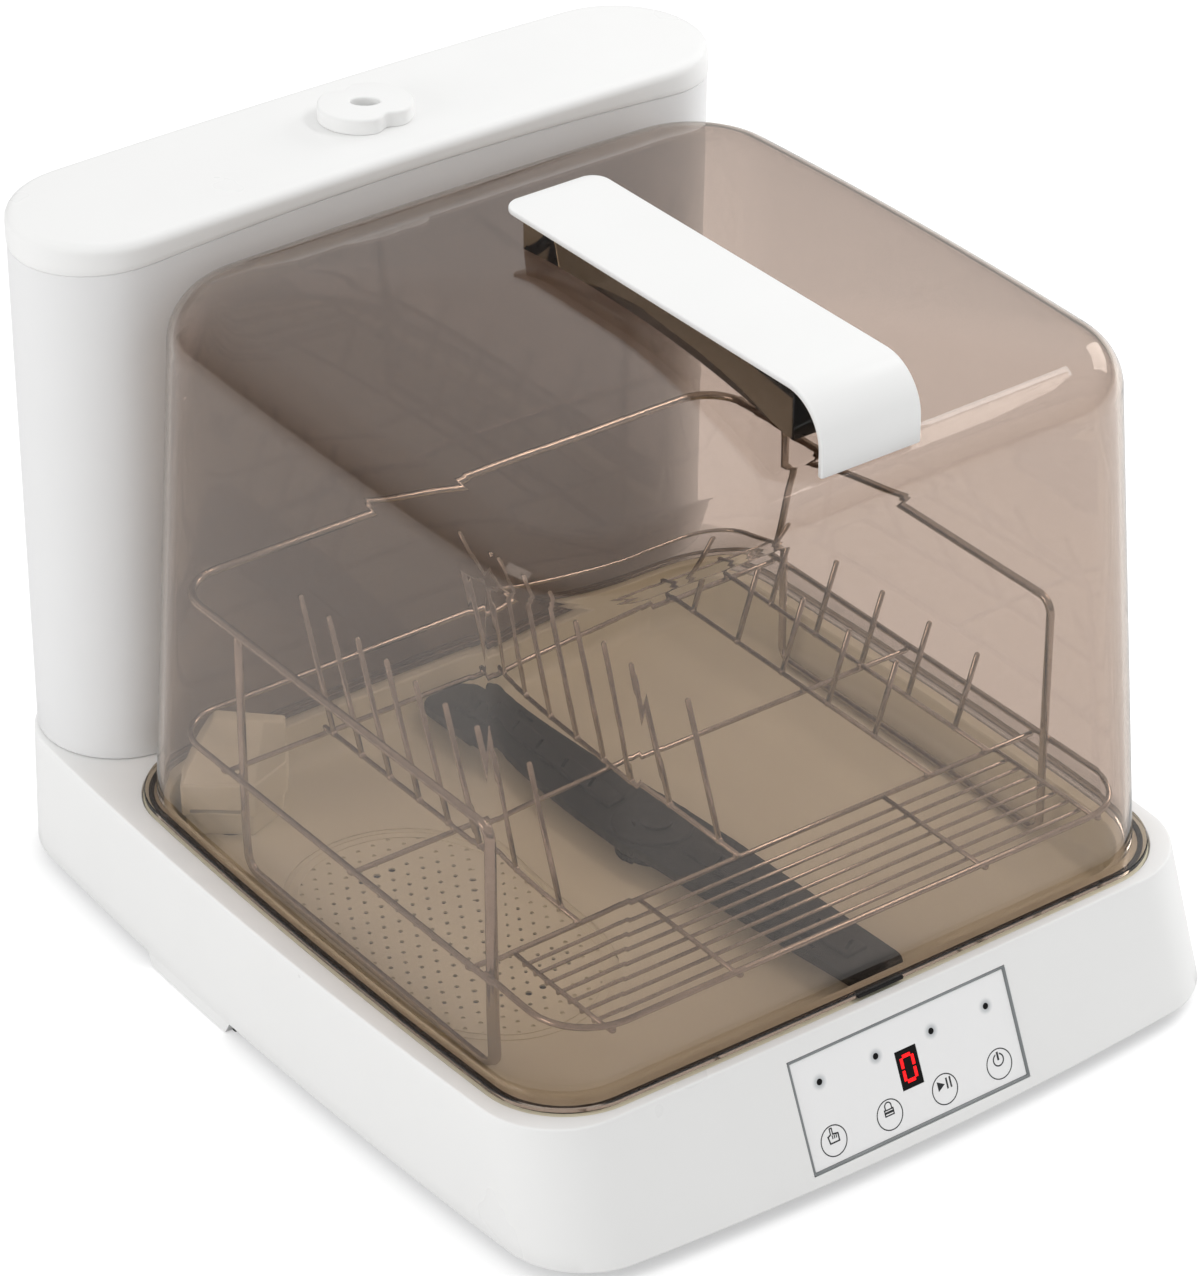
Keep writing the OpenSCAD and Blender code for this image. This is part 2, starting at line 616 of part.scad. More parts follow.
module dock_socket() color([0.45, 0.46, 0.48]) translate([dock_x, tank_y, 0]) difference() {
  union() {
    translate([0, 0, deck_z - 22]) cylinder(r = 20, h = 22);
    translate([0, 0, deck_z - 32]) cylinder(r = 5, h = 12);
  }
  difference() {
    translate([0, 0, deck_z - 19]) cylinder(r = 17.4, h = 30);
    translate([0, 0, deck_z - 19]) cylinder(r = 2, h = 13);
    for (a = [0, 90]) rotate([0, 0, a]) translate([0, 0, deck_z - 19]) bar(40, 1.6, 3);
  }
  translate([0, 0, deck_z - 40]) cylinder(r = 3.5, h = 18.5);
  for (a = [45:90:315]) rotate([0, 0, a]) translate([3.5, 0, deck_z - 23]) cylinder(r = 1.2, h = 10);
}

// ---- rear water tank

module tank_shape(d, z0, z1) hull() {
  for (s = [-1, 1]) {
    translate([s * (tank_hl - tank_r_low), tank_y, z0]) cylinder(r = tank_r_low - d, h = eps, $fn = 72);
    translate([s * (tank_hl - tank_r_top), tank_y - 3.5, z1 - eps]) cylinder(r = tank_r_top - d, h = eps,
        $fn = 72);
  }
}
// height of the arched joint, and of the lid, along the tank
function seam(x) = seam_z + seam_rise * (1 - pow(x / tank_hl, 2));
function lid_top(x) = lid_z + 2.5 * (1 - pow(x / tank_hl, 2));
module above_arch(up) translate([0, 330, 0]) rotate([90, 0, 0]) linear_extrude(260)
  polygon(concat([for (i = [-14:14]) [i * 15, seam(i * 15) + up]], [[210, 420], [-210, 420]]));

module tank_body() color(white) difference() {
  union() {
    difference() {
      tank_shape(0, deck_z + gap, seam_z + seam_rise);
      tank_shape(tank_t, deck_z + gap + 3, seam_z + seam_rise + 1);
    }
    translate([dock_x, tank_y, deck_z - 8]) cylinder(r = 15, h = 16);
  }
  above_arch(0);
  translate([dock_x, tank_y, deck_z - 20]) cylinder(r = 12, h = 26);
  translate([dock_x, tank_y, deck_z - 20]) cylinder(r = 8, h = 40);
  // groove of the outer seal
  translate([dock_x, tank_y, deck_z - 5]) difference() { cylinder(r = 20, h = 2.4); translate([0, 0, -1])
      cylinder(r = 13.6, h = 5); }
}

module tank_valve() color([0.30, 0.31, 0.33]) translate([dock_x, tank_y, 0]) {
  translate([0, 0, deck_z + 8.3]) cylinder(r = 11, h = 2.5);
  translate([0, 0, deck_z - 3]) cylinder(r = 3.5, h = 12);
  for (a = [0:120:240]) rotate([0, 0, a]) translate([0, -0.8, deck_z - 2]) cube([7.9, 1.6, 8]);
}

module valve_seal() color(rubber) translate([dock_x, tank_y, deck_z - 3.8]) rotate_extrude()
    translate([14.85, 0]) circle(1.2, $fn = 24);

// stadium outline along X: half length, end radius
module pill(hl, r) {
  for (s = [-1, 1]) translate([s * (hl - r), 0]) circle(r, $fn = 72);
  square([2 * (hl - r), 2 * r], center = true);
}
lid_y = tank_y - 3.5;
lid_hl = tank_hl + 1;
lid_r = tank_r_top + 1;

module tank_gasket() color(rubber) translate([0, lid_y, seam_z - 3.5]) linear_extrude(2.5) difference() {
  pill(tank_hl - tank_t - 0.9, tank_r_top - tank_t - 0.5);
  pill(lid_hl - 4.9, lid_r - 4.9);
}

// ring of points of the lid moved in by d, with the heights given by its arch or crown
lid_m = 12; // steps round each end
lid_k = 14; // steps along each side
function lid_ring(d) = concat(
  [for (i = [0:lid_m]) [lid_hl - lid_r + (lid_r - d) * sin(180 * i / lid_m), -(lid_r - d)
      * cos(180 * i / lid_m)]],
  [for (i = [1:lid_k - 1]) [(lid_hl - lid_r) * (1 - 2 * i / lid_k), lid_r - d]],
  [for (i = [0:lid_m]) [lid_r - lid_hl - (lid_r - d) * sin(180 * i / lid_m), (lid_r - d)
      * cos(180 * i / lid_m)]],
  [for (i = [1:lid_k - 1]) [(lid_hl - lid_r) * (2 * i / lid_k - 1), d - lid_r]]);
lid_edge = 5;
lid_rings = concat([[for (p = lid_ring(0)) [p[0], p[1], seam(p[0]) + 0.4]]],
  [for (a = [0:18:90]) [for (p = lid_ring(lid_edge * (1 - cos(a))))
      [p[0], p[1], lid_top(p[0]) - lid_edge * (1 - sin(a))]]]);
lid_n = 2 * (lid_m + lid_k);
function lid_i(i) = (i + 2 * lid_n) % lid_n;
// strips across one end ring, from the tip of one end to the other
function strips(o, up) = [for (q = [0:lid_n / 2 - 1]) let (
    a = lid_i(lid_m / 2 + q), b = lid_i(a + 1), c = lid_i(lid_m - b), d = lid_i(lid_m - a),
    f = a == d ? [a, b, c] : (b == c ? [a, b, d] : [a, b, c, d]))
  up ? [for (v = f) o + v] : [for (i = [len(f) - 1:-1:0]) o + f[i]]];
module lid_skin() let (n = len(lid_rings)) polyhedron(
  points = [for (q = lid_rings) for (p = q) p],
  faces = concat(
    [for (j = [0:n - 2]) for (i = [0:lid_n - 1]) let (a = j * lid_n + i, b = j * lid_n + (i + 1) % lid_n)
        [b, a, a + lid_n]],
    [for (j = [0:n - 2]) for (i = [0:lid_n - 1]) let (a = j * lid_n + i, b = j * lid_n + (i + 1) % lid_n)
        [b, a + lid_n, b + lid_n]],
    strips(0, true), strips((n - 1) * lid_n, false)));

module tank_lid() color(white) translate([0, lid_y, 0]) difference() {
  union() {
    lid_skin();
    // skirt that drops inside the tank
    translate([0, 0, seam_z - 4]) linear_extrude(14) difference() {
      pill(lid_hl - 5, lid_r - 5);
      pill(lid_hl - 7, lid_r - 7);
    }
  }
  translate([0, 0, seam_z]) linear_extrude(lid_z - 2.6 - seam_z) pill(lid_hl - 7, lid_r - 7);
  translate([-1, 0, lid_z - 20]) cylinder(r = 17, h = 40);
}

module fill_cap() color(white) translate([-1, tank_y - 3.5, 0]) difference() {
  union() {
    translate([0, 0, lid_z + 2.4 + 0.1]) linear_extrude(7.4) {
      circle(22.5);
      for (a = [-52, 128]) rotate([0, 0, a]) translate([16, 0]) circle(10.5);
    }
    translate([0, 0, lid_z - 6]) cylinder(r = 17 - run, h = 12);
    translate([0, 0, lid_z - 6]) cylinder(r = 19, h = 2.6);
  }
  translate([0, 0, lid_z - 20]) cylinder(r = 5.5, h = 60);
  translate([0, 0, lid_z - 20]) cylinder(r = 14, h = 22);
}

// ---- clear cover

function dome_ring(d, z) = let (t = (z - 77.5) / (dome_z - dome_fillet - 77.5))
  [for (p = ring(dome_hw - (dome_hw - dome_top_hw) * t - d, -200.9 + 6.5 * t + d, 149.4 - 3.4 * t - d,
    39 + 11 * t - d, 39 + 11 * t - d, 1.6 + 0.9 * t, 3 + t, 5.1, dome_steps, dome_steps)) [p[0], p[1], z]];
// rings of one surface from the top down to the foot, moved in by d
top_a = 76;
function cap_rings(d) = let (
    r = dome_fillet - d, zc = dome_z - dome_fillet,
    edge = dome_ring(d + r * (1 - cos(top_a)), zc), c = [0, -24], h = r * sin(top_a))
  [for (k = [0.04, 0.2, 0.4, 0.6, 0.8, 1]) [for (p = edge)
    [c[0] + (p[0] - c[0]) * k, c[1] + (p[1] - c[1]) * k, zc + h + dome_crown * (1 - k * k)]]];
function fillet_rings(d) = let (r = dome_fillet - d, zc = dome_z - dome_fillet)
  [for (a = [top_a - 12.6:-12.6:-1]) [for (p = dome_ring(d + r * (1 - cos(a)), zc))
      [p[0], p[1], zc + r * sin(a)]]];
function wall_rings(d) = [for (z = [dome_z - dome_fillet - 80, 160, 77.5]) dome_ring(d, z)];
function flat_ring(pts, z) = [for (p = pts) [p[0], p[1], z]];
lip_pts = ring(189.5, -207.4, 154.2, 41, 41, 1.6, 3, 5.1, dome_steps, dome_steps);
function rev(v) = [for (i = [len(v) - 1:-1:0]) v[i]];
dome_rings = concat(cap_rings(0), fillet_rings(0), wall_rings(0),
  [flat_ring(lip_pts, 77.5), flat_ring(lip_pts, deck_z + 0.5 + gap), flat_ring(dome_ring(dome_t, 77.5),
      deck_z + 0.5 + gap)],
  rev(concat(cap_rings(dome_t), fillet_rings(dome_t), wall_rings(dome_t))));
dn = len(dome_rings[0]);
dr = len(dome_rings);

module dome_skin() polyhedron(
  points = concat([for (q = dome_rings) for (p = q) p],
    [[0, -24, dome_rings[0][0][2] + 0.02], [0, -24, dome_rings[dr - 1][0][2] + 0.02]]),
  faces = concat(
    [for (j = [0:dr - 2]) for (i = [0:dn - 1]) let (a = j * dn + i, b = j * dn + (i + 1) % dn)
        [a, b, a + dn]],
    [for (j = [0:dr - 2]) for (i = [0:dn - 1]) let (a = j * dn + i, b = j * dn + (i + 1) % dn)
        [b, b + dn, a + dn]],
    [for (i = [0:dn - 1]) [dn * dr, (i + 1) % dn, i]],
    [for (i = [0:dn - 1]) [dn * dr + 1, (dr - 1) * dn + i, (dr - 1) * dn + (i + 1) % dn]]));

module dome() color(smoke) difference() {
  union() {
    dome_skin();
    // hollow fin that carries the handle
    translate([handle_x - 23.5, -163, dome_z + 4]) cube([46, 202, handle_z - handle_t - dome_z - 4]);
  }
  translate([handle_x - 21.5, -161, dome_z - 20]) cube([42, 198, handle_z - handle_t - 2 - dome_z + 20]);
  for (y = [-130, -60, 10]) translate([handle_x, y, dome_z]) cylinder(r = 2.2, h = 60);
}

module dome_catch() color(rubber) {
  // hooks over the front edge of the lip
  translate([-15.5, -210.9, deck_z + 0.5 + gap]) cube([30, 1.7, 4.2]);
  translate([-15.5, -210.9, 77.5]) cube([30, 7.4, 1.5]);
}

module handle() color(white) intersection() {
  difference() {
    union() {
      translate([handle_x - handle_w / 2, -189 + handle_r, handle_z - handle_t])
          cube([handle_w, 239 - handle_r, handle_t]);
      translate([handle_x - handle_w / 2, -189 + handle_r, handle_z - handle_r]) rotate([0, 90, 0])
          rotate([0, 0, 180])
        rotate_extrude(angle = 90, $fn = 96) translate([handle_r - handle_t, 0])
            square([handle_t, handle_w]);
      translate([handle_x - handle_w / 2, -189, 346]) cube([handle_w, handle_t, handle_z - handle_r - 346]);
    }
    for (y = [-130, -60, 10]) translate([handle_x, y, handle_z - handle_t - 1]) cylinder(r = 1.2, h = 3.2);
  }
  // rounded corners at the rear end and at the lower front end
  translate([handle_x - handle_w / 2, -200, 300]) union() {
    cube([handle_w, 241, 120]);
    translate([9, 0, 0]) cube([handle_w - 18, 250, 120]);
    for (x = [9, handle_w - 9]) translate([x, 241, 0]) cylinder(r = 9, h = 120);
  }
}

module handle_screws() color(steel) for (y = [-130, -60, 10])
    translate([handle_x, y, handle_z - handle_t]) {
  translate([0, 0, -4]) cylinder(r = 4, h = 2);
  translate([0, 0, -3]) cylinder(r = 1.15, h = 5);
}

// ---- wire rack

leg_hx = 164.3;
loop_hx = leg_hx + leg_d / 2 + loop_d / 2 - 0.4;
leg_f = -128;
leg_b = 76;
rail_b = 133;
rail_r = 24;
loop_rf = 30;
loop_rb = 25;
loop_f = -192;
loop_b = 136;
foot_z = floor_z + leg_d / 2 + gap;

module rod(p, q, d) let (v = q - p, l = norm(v)) translate(p)
  rotate([0, acos(v[2] / l), atan2(v[1], v[0])]) cylinder(r = d / 2, h = l, $fn = 24);
// quarter bend of wire in the XY plane, centre c, from angle a
module bend(c, r, a, d) translate(c) rotate([0, 0, a]) rotate_extrude(angle = 90, $fn = 64)
    translate([r, 0]) circle(d / 2, $fn = 24);
// quarter bend of wire in the YZ plane
module bend_yz(c, r, a, d) translate(c) rotate([90, 0, 90]) rotate([0, 0, a])
    rotate_extrude(angle = 90, $fn = 64) translate([r, 0]) circle(d / 2, $fn = 24);

module rack_frame() color(steel) translate([rack_x, 0, 0]) {
  for (s = [-1, 1]) {
    // top rail, open at the front, running down into the front leg
    rod([s * leg_hx, leg_f + 8, rail_z], [s * leg_hx, rail_b - rail_r, rail_z], leg_d);
    bend_yz([s * leg_hx, leg_f + 8, rail_z - 8], 8, 90, leg_d);
    rod([s * leg_hx, leg_f, foot_z + 8], [s * leg_hx, leg_f, rail_z - 8], leg_d);
    // foot rail and rear leg
    bend_yz([s * leg_hx, leg_f + 8, foot_z + 8], 8, 180, leg_d);
    rod([s * leg_hx, leg_f + 8, foot_z], [s * leg_hx, leg_b - 8, foot_z], leg_d);
    bend_yz([s * leg_hx, leg_b - 8, foot_z + 8], 8, 270, leg_d);
    rod([s * leg_hx, leg_b, foot_z + 8], [s * leg_hx, leg_b, rail_z - leg_d / 2 + 0.4], leg_d);
    // frame loop outside the legs
    rod([s * loop_hx, loop_f + loop_rf, loop_z], [s * loop_hx, loop_b - loop_rb, loop_z], loop_d);
  }
  bend([leg_hx - rail_r, rail_b - rail_r, rail_z], rail_r, 0, leg_d);
  bend([rail_r - leg_hx, rail_b - rail_r, rail_z], rail_r, 90, leg_d);
  rod([rail_r - leg_hx, rail_b, rail_z], [leg_hx - rail_r, rail_b, rail_z], leg_d);
  rod([loop_rf - loop_hx, loop_f, loop_z], [loop_hx - loop_rf, loop_f, loop_z], loop_d);
  rod([loop_rb - loop_hx, loop_b, loop_z], [loop_hx - loop_rb, loop_b, loop_z], loop_d);
  bend([loop_hx - loop_rb, loop_b - loop_rb, loop_z], loop_rb, 0, loop_d);
  bend([loop_rb - loop_hx, loop_b - loop_rb, loop_z], loop_rb, 90, loop_d);
  bend([loop_rf - loop_hx, loop_f + loop_rf, loop_z], loop_rf, 180, loop_d);
  bend([loop_hx - loop_rf, loop_f + loop_rf, loop_z], loop_rf, 270, loop_d);
}

cross_d = 2.8;
low_z = loop_z - loop_d / 2 - cross_d / 2 + 0.3;
module rack_grille() color(steel) translate([rack_x, 0, 0]) {
  // cross wires under the frame loop
  for (y = [88, -20, -116]) rod([-loop_hx - 1, y, low_z], [loop_hx + 1, y, low_z], cross_d);
  // front grille
  for (i = [1:7]) rod([-148, -116 - i * 9, low_z - 2.2], [146, -116 - i * 9, low_z - 2.2], grille_d);
  for (x = [-145, -73, 73, 143]) rod([x, -115, low_z - 0.3], [x, loop_f - 1, low_z - 0.3], 2.4);
}

carrier_d = 2.6;
carrier_z = low_z + cross_d / 2 + carrier_d / 2 - 0.3;
// rows of tines: place, spacing, number, last one, lean to the rear, lean outwards, height
tine_rows = [[-108, 82, tine_pitch, 7, 26, 0, 67], [-16, 82, tine_pitch, 7, 26, 0, 67],
  [101, 70, 36.3, 5, 0, 13, 39], [137, 52, 36.3, 5, 0, 13, 39]];
module rack_tines() color(steel) translate([rack_x, 0, 0]) for (t = tine_rows) {
  rod([t[0], 91, carrier_z], [t[0], -119, carrier_z], carrier_d);
  for (i = [0:t[3] - 1]) let (y = t[1] - i * t[2])
    rod([t[0], y, carrier_z], [t[0] + t[5], y + t[4], carrier_z + t[6]], tine_d);
  if (t[4] > 0) rod([t[0], -103, carrier_z], [t[0], -103 + t[4], carrier_z + t[6]], tine_d);
}

base_shell();
bottom_plate();
feet();
base_screws();
tub();
rim_gasket();
filter_plate();
sump();
heater();
air_duct();
wash_pump();
wash_rotor();
spray_post();
spray_arm();
drain_pump();
drain_rotor();
blower();
blower_wheel();
hoses();
control_board();
panel_frame();
panel_face();
display();
display_bars();
indicator_dots();
touch_marks();
power_board();
reed_switch();
power_inlet();
drain_spout();
dock_socket();
tank_body();
tank_lid();
tank_gasket();
fill_cap();
tank_valve();
valve_seal();
dome();
dome_catch();
handle();
handle_screws();
rack_frame();
rack_grille();
rack_tines();
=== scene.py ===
import math

import bmesh
import bpy
from mathutils import Matrix, Vector
from mathutils.kdtree import KDTree


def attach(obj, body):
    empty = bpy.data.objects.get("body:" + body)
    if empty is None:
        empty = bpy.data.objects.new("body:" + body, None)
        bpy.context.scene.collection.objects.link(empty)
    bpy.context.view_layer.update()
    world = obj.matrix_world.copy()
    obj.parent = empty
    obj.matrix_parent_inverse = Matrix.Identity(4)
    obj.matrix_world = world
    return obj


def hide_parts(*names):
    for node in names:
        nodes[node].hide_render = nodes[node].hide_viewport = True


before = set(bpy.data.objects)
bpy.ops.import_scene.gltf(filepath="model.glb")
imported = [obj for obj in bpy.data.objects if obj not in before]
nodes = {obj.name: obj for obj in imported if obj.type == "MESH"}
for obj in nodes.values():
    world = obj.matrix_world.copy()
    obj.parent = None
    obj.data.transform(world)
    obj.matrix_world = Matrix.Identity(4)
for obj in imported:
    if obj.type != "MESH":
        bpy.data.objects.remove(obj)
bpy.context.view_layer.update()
print("frame loaded:", len(nodes), "nodes")

mm = 0.001  # the measures below are in millimetres


# small helpers

def deselectAll():
    if bpy.context.object and bpy.context.object.mode != "OBJECT":
        bpy.ops.object.mode_set(mode="OBJECT")
    bpy.ops.object.select_all(action="DESELECT")


def selectOnly(piece):
    deselectAll()
    piece.select_set(True)
    bpy.context.view_layer.objects.active = piece


def applyPlace(piece):
    # the object ends at the origin, with its place in its mesh
    selectOnly(piece)
    bpy.ops.object.transform_apply(location=True, rotation=True, scale=True)


def placeAt(piece, x, y, z=0.0, turn=0.0):
    # turned about Z by degrees, then moved by mm
    piece.matrix_world = Matrix.Translation(Vector((x, y, z)) * mm) @ Matrix.Rotation(math.radians(turn), 4, "Z")
    applyPlace(piece)
    return piece


def applyModifier(piece, kind, **settings):
    selectOnly(piece)
    modifier = piece.modifiers.new(kind.lower(), kind)
    for key, value in settings.items():
        setattr(modifier, key, value)
    bpy.ops.object.modifier_apply(modifier=modifier.name)


def smooth(piece, degrees):
    selectOnly(piece)
    bpy.ops.object.shade_smooth_by_angle(angle=math.radians(degrees))


def recalcNormals(piece, merge):
    # points nearer than merge, in mm, become one
    selectOnly(piece)
    bpy.ops.object.mode_set(mode="EDIT")
    bpy.ops.mesh.select_all(action="SELECT")
    bpy.ops.mesh.remove_doubles(threshold=merge * mm)
    bpy.ops.mesh.normals_make_consistent(inside=False)
    bpy.ops.object.mode_set(mode="OBJECT")


def roundEdges(piece, bevel, segments=3):
    if bevel:
        applyModifier(piece, "BEVEL", width=bevel * mm, segments=segments, limit_method="ANGLE")


def addBox(name, low, high, bevel=0.0, segments=3):
    # a box between two corners in mm, its edges rounded
    deselectAll()
    bpy.ops.mesh.primitive_cube_add(size=1, location=[(b + a) / 2 * mm for a, b in zip(low, high)])
    piece = bpy.context.object
    piece.name = name
    piece.scale = [(b - a) * mm for a, b in zip(low, high)]
    applyPlace(piece)
    roundEdges(piece, bevel, segments)
    return piece


def addCylinder(name, centre, radius, depth, axis="Z", vertices=64, bevel=0.0):
    turns = {"Y": (math.radians(90), 0, 0), "Z": (0, 0, 0)}
    deselectAll()
    bpy.ops.mesh.primitive_cylinder_add(vertices=vertices, radius=radius * mm, depth=depth * mm,
                                        location=[c * mm for c in centre], rotation=turns[axis])
    piece = bpy.context.object
    piece.name = name
    applyPlace(piece)
    roundEdges(piece, bevel)
    return piece


def cutWith(piece, cutter, operation="DIFFERENCE"):
    applyModifier(piece, "BOOLEAN", object=cutter, operation=operation, solver="EXACT")
    bpy.data.objects.remove(cutter, do_unlink=True)


def joinPieces(name, pieces):
    deselectAll()
    for piece in pieces:
        piece.select_set(True)
    bpy.context.view_layer.objects.active = pieces[0]
    bpy.ops.object.join()
    pieces[0].name = name
    return pieces[0]


def finishPiece(piece, body, material, slot, *stands, smoothAt=0):
    if smoothAt:
        smooth(piece, smoothAt)
    piece.data.materials.clear()
    piece.data.materials.append(material)
    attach(piece, body)
    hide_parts(*stands)


# lofting: a ring of points is extruded and set in place, ring after ring

def lerp(a, b, t):
    return a + (b - a) * t


def quarter(steps, first=0):
    # the angles of a quarter turn, in even steps
    return [math.radians(90 * step / steps) for step in range(first, steps + 1)]


def outline(shape, inset=0.0, cornerSteps=14, sideSteps=22):
    # rounded rectangle with bowed sides, (x, y) in mm, going round anticlockwise
    hw = shape["halfWidth"] - inset
    yf = shape["front"] + inset
    yr = shape["rear"] - inset
    rf = shape["frontRadius"] - inset
    rr = shape["rearRadius"] - inset
    corners = [(-hw + rf, yf + rf, rf, 180), (hw - rf, yf + rf, rf, 270),
               (hw - rr, yr - rr, rr, 0), (-hw + rr, yr - rr, rr, 90)]
    points = []
    for index, (cx, cy, r, start) in enumerate(corners):
        for step in range(cornerSteps + 1):
            a = math.radians(start + 90 * step / cornerSteps)
            points.append((cx + r * math.cos(a), cy + r * math.sin(a)))
        nx, ny, nr, nStart = corners[(index + 1) % 4]
        a = math.radians(nStart)
        end = (nx + nr * math.cos(a), ny + nr * math.sin(a))
        last = points[-1]
        for step in range(1, sideSteps):
            points.append(tuple(lerp(a, b, step / sideSteps) for a, b in zip(last, end)))
    bowed = []
    for x, y in points:
        u = x / hw
        v = (2 * y - yf - yr) / (yr - yf)
        bow = shape["rearBow"] if v > 0 else shape["frontBow"]
        bowed.append((x + shape["sideBow"] * u * (1 - v * v), y + bow * v * (1 - u * u)))
    return bowed


def pill(halfLength, radius, centreY, endSteps=20, sideSteps=40):
    # stadium outline along X
    half = halfLength - radius
    points = []
    for side, start in ((1, -90), (-1, 90)):
        for step in range(endSteps + 1):
            a = math.radians(start + 180 * step / endSteps)
            points.append((side * half + radius * math.cos(a), centreY + radius * math.sin(a)))
        for step in range(1, sideSteps):
            points.append((side * half * (1 - 2 * step / sideSteps), centreY + side * radius))
    return points


def atHeight(points, z):
    return [(x, y, z) for x, y in points]


def treeOf(points):
    tree = KDTree(len(points))
    for index, point in enumerate(points):
        tree.insert([c * mm for c in point], index)
    tree.balance()
    return tree


def loft(name, rings, capStart=False, capEnd=False, closed=False, gridSpan=0, merge=0.01):
    deselectAll()
    bpy.ops.mesh.primitive_circle_add(vertices=len(rings[0]), radius=1)
    piece = bpy.context.object
    piece.name = name
    for vertex, point in zip(piece.data.vertices, rings[0]):
        vertex.co = [c * mm for c in point]
    bpy.ops.object.mode_set(mode="EDIT")
    bpy.ops.mesh.select_mode(type="VERT")
    for ring, target in zip(rings, rings[1:]):
        places = treeOf(ring)
        bpy.ops.mesh.extrude_region_move()
        mesh = bmesh.from_edit_mesh(piece.data)
        for vertex in mesh.verts:
            if vertex.select:
                vertex.co = [c * mm for c in target[places.find(vertex.co)[1]]]
        bmesh.update_edit_mesh(piece.data)
    bpy.ops.object.mode_set(mode="OBJECT")
    if closed:
        selectRings(piece, rings[0] + rings[-1])
        bpy.ops.mesh.bridge_edge_loops()
        bpy.ops.object.mode_set(mode="OBJECT")
    if capStart:
        fillRing(piece, rings[0], gridSpan)
    if capEnd:
        fillRing(piece, rings[-1], gridSpan)
    recalcNormals(piece, merge)
    return piece


def prism(name, ring, low, high):
    # a ring of (x, y) extruded between two heights
    return loft(name, [atHeight(ring, low), atHeight(ring, high)], capStart=True, capEnd=True)


def selectRings(piece, points):
    # open edges that lie on the given points
    selectOnly(piece)
    bpy.ops.object.mode_set(mode="EDIT")
    bpy.ops.mesh.select_all(action="DESELECT")
    bpy.ops.mesh.select_mode(type="EDGE")
    mesh = bmesh.from_edit_mesh(piece.data)
    places = treeOf(points)
    near = {vertex: places.find(vertex.co)[2] < 0.01 * mm for vertex in mesh.verts}
    for edge in mesh.edges:
        edge.select_set(near[edge.verts[0]] and near[edge.verts[1]] and len(edge.link_faces) < 2)
    bmesh.update_edit_mesh(piece.data)


def fillRing(piece, ring, gridSpan):
    selectRings(piece, ring)
    if gridSpan:
        bpy.ops.mesh.fill_grid(span=gridSpan)
    else:
        bpy.ops.mesh.edge_face_add()
    bpy.ops.object.mode_set(mode="OBJECT")


# materials: a grain's size is in mm, and a cloud's scale is its waves in a metre

def toLinear(code):
    def channel(value):
        value /= 255
        return value / 12.92 if value <= 0.04045 else ((value + 0.055) / 1.055) ** 2.4
    return [channel(int(code[i:i + 2], 16)) for i in (0, 2, 4)] + [1.0]


def addNode(tree, kind, settings=None, **sockets):
    # a socket takes a value, or (node, output) to link; From_Min is "From Min" and i1 is socket 1
    node = tree.nodes.new(kind)
    for key, value in (settings or {}).items():
        setattr(node, key, value)
    for key, value in sockets.items():
        numbered = key[0] == "i" and key[1:].isdigit()
        socket = node.inputs[int(key[1:]) if numbered else key.replace("_", " ")]
        if isinstance(value, tuple) and hasattr(value[0], "outputs"):
            tree.links.new(value[0].outputs[value[1]], socket)
        else:
            socket.default_value = value
    return node


def startMaterial(name):
    material = bpy.data.materials.new(name)
    material.use_nodes = True
    tree = material.node_tree
    tree.nodes.clear()
    return material, tree, addNode(tree, "ShaderNodeOutputMaterial"), addNode(tree, "ShaderNodeTexCoord")


def addNoise(tree, coords, sizeMm, detail=2.0):
    return addNode(tree, "ShaderNodeTexNoise", Vector=(coords, "Object"), Scale=1 / (sizeMm * mm), Detail=detail)


def addTone(tree, factor, dark, light):
    # an even change between two colours
    return addNode(tree, "ShaderNodeMix", {"data_type": "RGBA"}, i0=factor, i6=dark, i7=light)


def addRelief(tree, pattern, strength, depthMm=0.1):
    return addNode(tree, "ShaderNodeBump", Strength=strength, Distance=depthMm * mm, Height=(pattern, "Fac"))


def endMaterial(material, tree, output, shader):
    tree.links.new(shader.outputs[0], output.inputs["Surface"])
    return material


def plastic(name, light, dark, roughness, grainMm=0.5, bump=0.02, level=0.5):
    # moulded plastic: a fine spark-eroded grain, and cloudy changes of sheen from the flow in the tool
    material, tree, output, coords = startMaterial(name)
    cloud = addNode(tree, "ShaderNodeTexNoise", Vector=(coords, "Object"), Scale=18.0, Detail=3.0)
    tone = addTone(tree, (cloud, "Fac"), toLinear(dark), toLinear(light))
    sheen = addNode(tree, "ShaderNodeMapRange", Value=(cloud, "Fac"), From_Min=0.3, From_Max=0.7,
                    To_Min=roughness - 0.03, To_Max=roughness + 0.03)
    relief = addRelief(tree, addNoise(tree, coords, grainMm), bump, 0.2)
    shader = addNode(tree, "ShaderNodeBsdfPrincipled", Base_Color=(tone, 2), Roughness=(sheen, "Result"),
                     Normal=(relief, "Normal"), IOR=1.5, Specular_IOR_Level=level)
    return endMaterial(material, tree, output, shader)


def steel(name, light, dark, roughness):
    # drawn stainless wire: polished, with faint lines from the die
    material, tree, output, coords = startMaterial(name)
    cloud = addNode(tree, "ShaderNodeTexNoise", Vector=(coords, "Object"), Scale=60.0, Detail=2.0)
    tone = addTone(tree, (cloud, "Fac"), toLinear(dark), toLinear(light))
    sheen = addNode(tree, "ShaderNodeMapRange", Value=(cloud, "Fac"),
                    To_Min=roughness * 0.7, To_Max=roughness * 1.3)
    relief = addRelief(tree, addNoise(tree, coords, 0.25), 0.05)
    shader = addNode(tree, "ShaderNodeBsdfPrincipled", Metallic=1.0, Base_Color=(tone, 2),
                     Roughness=(sheen, "Result"), Normal=(relief, "Normal"))
    return endMaterial(material, tree, output, shader)


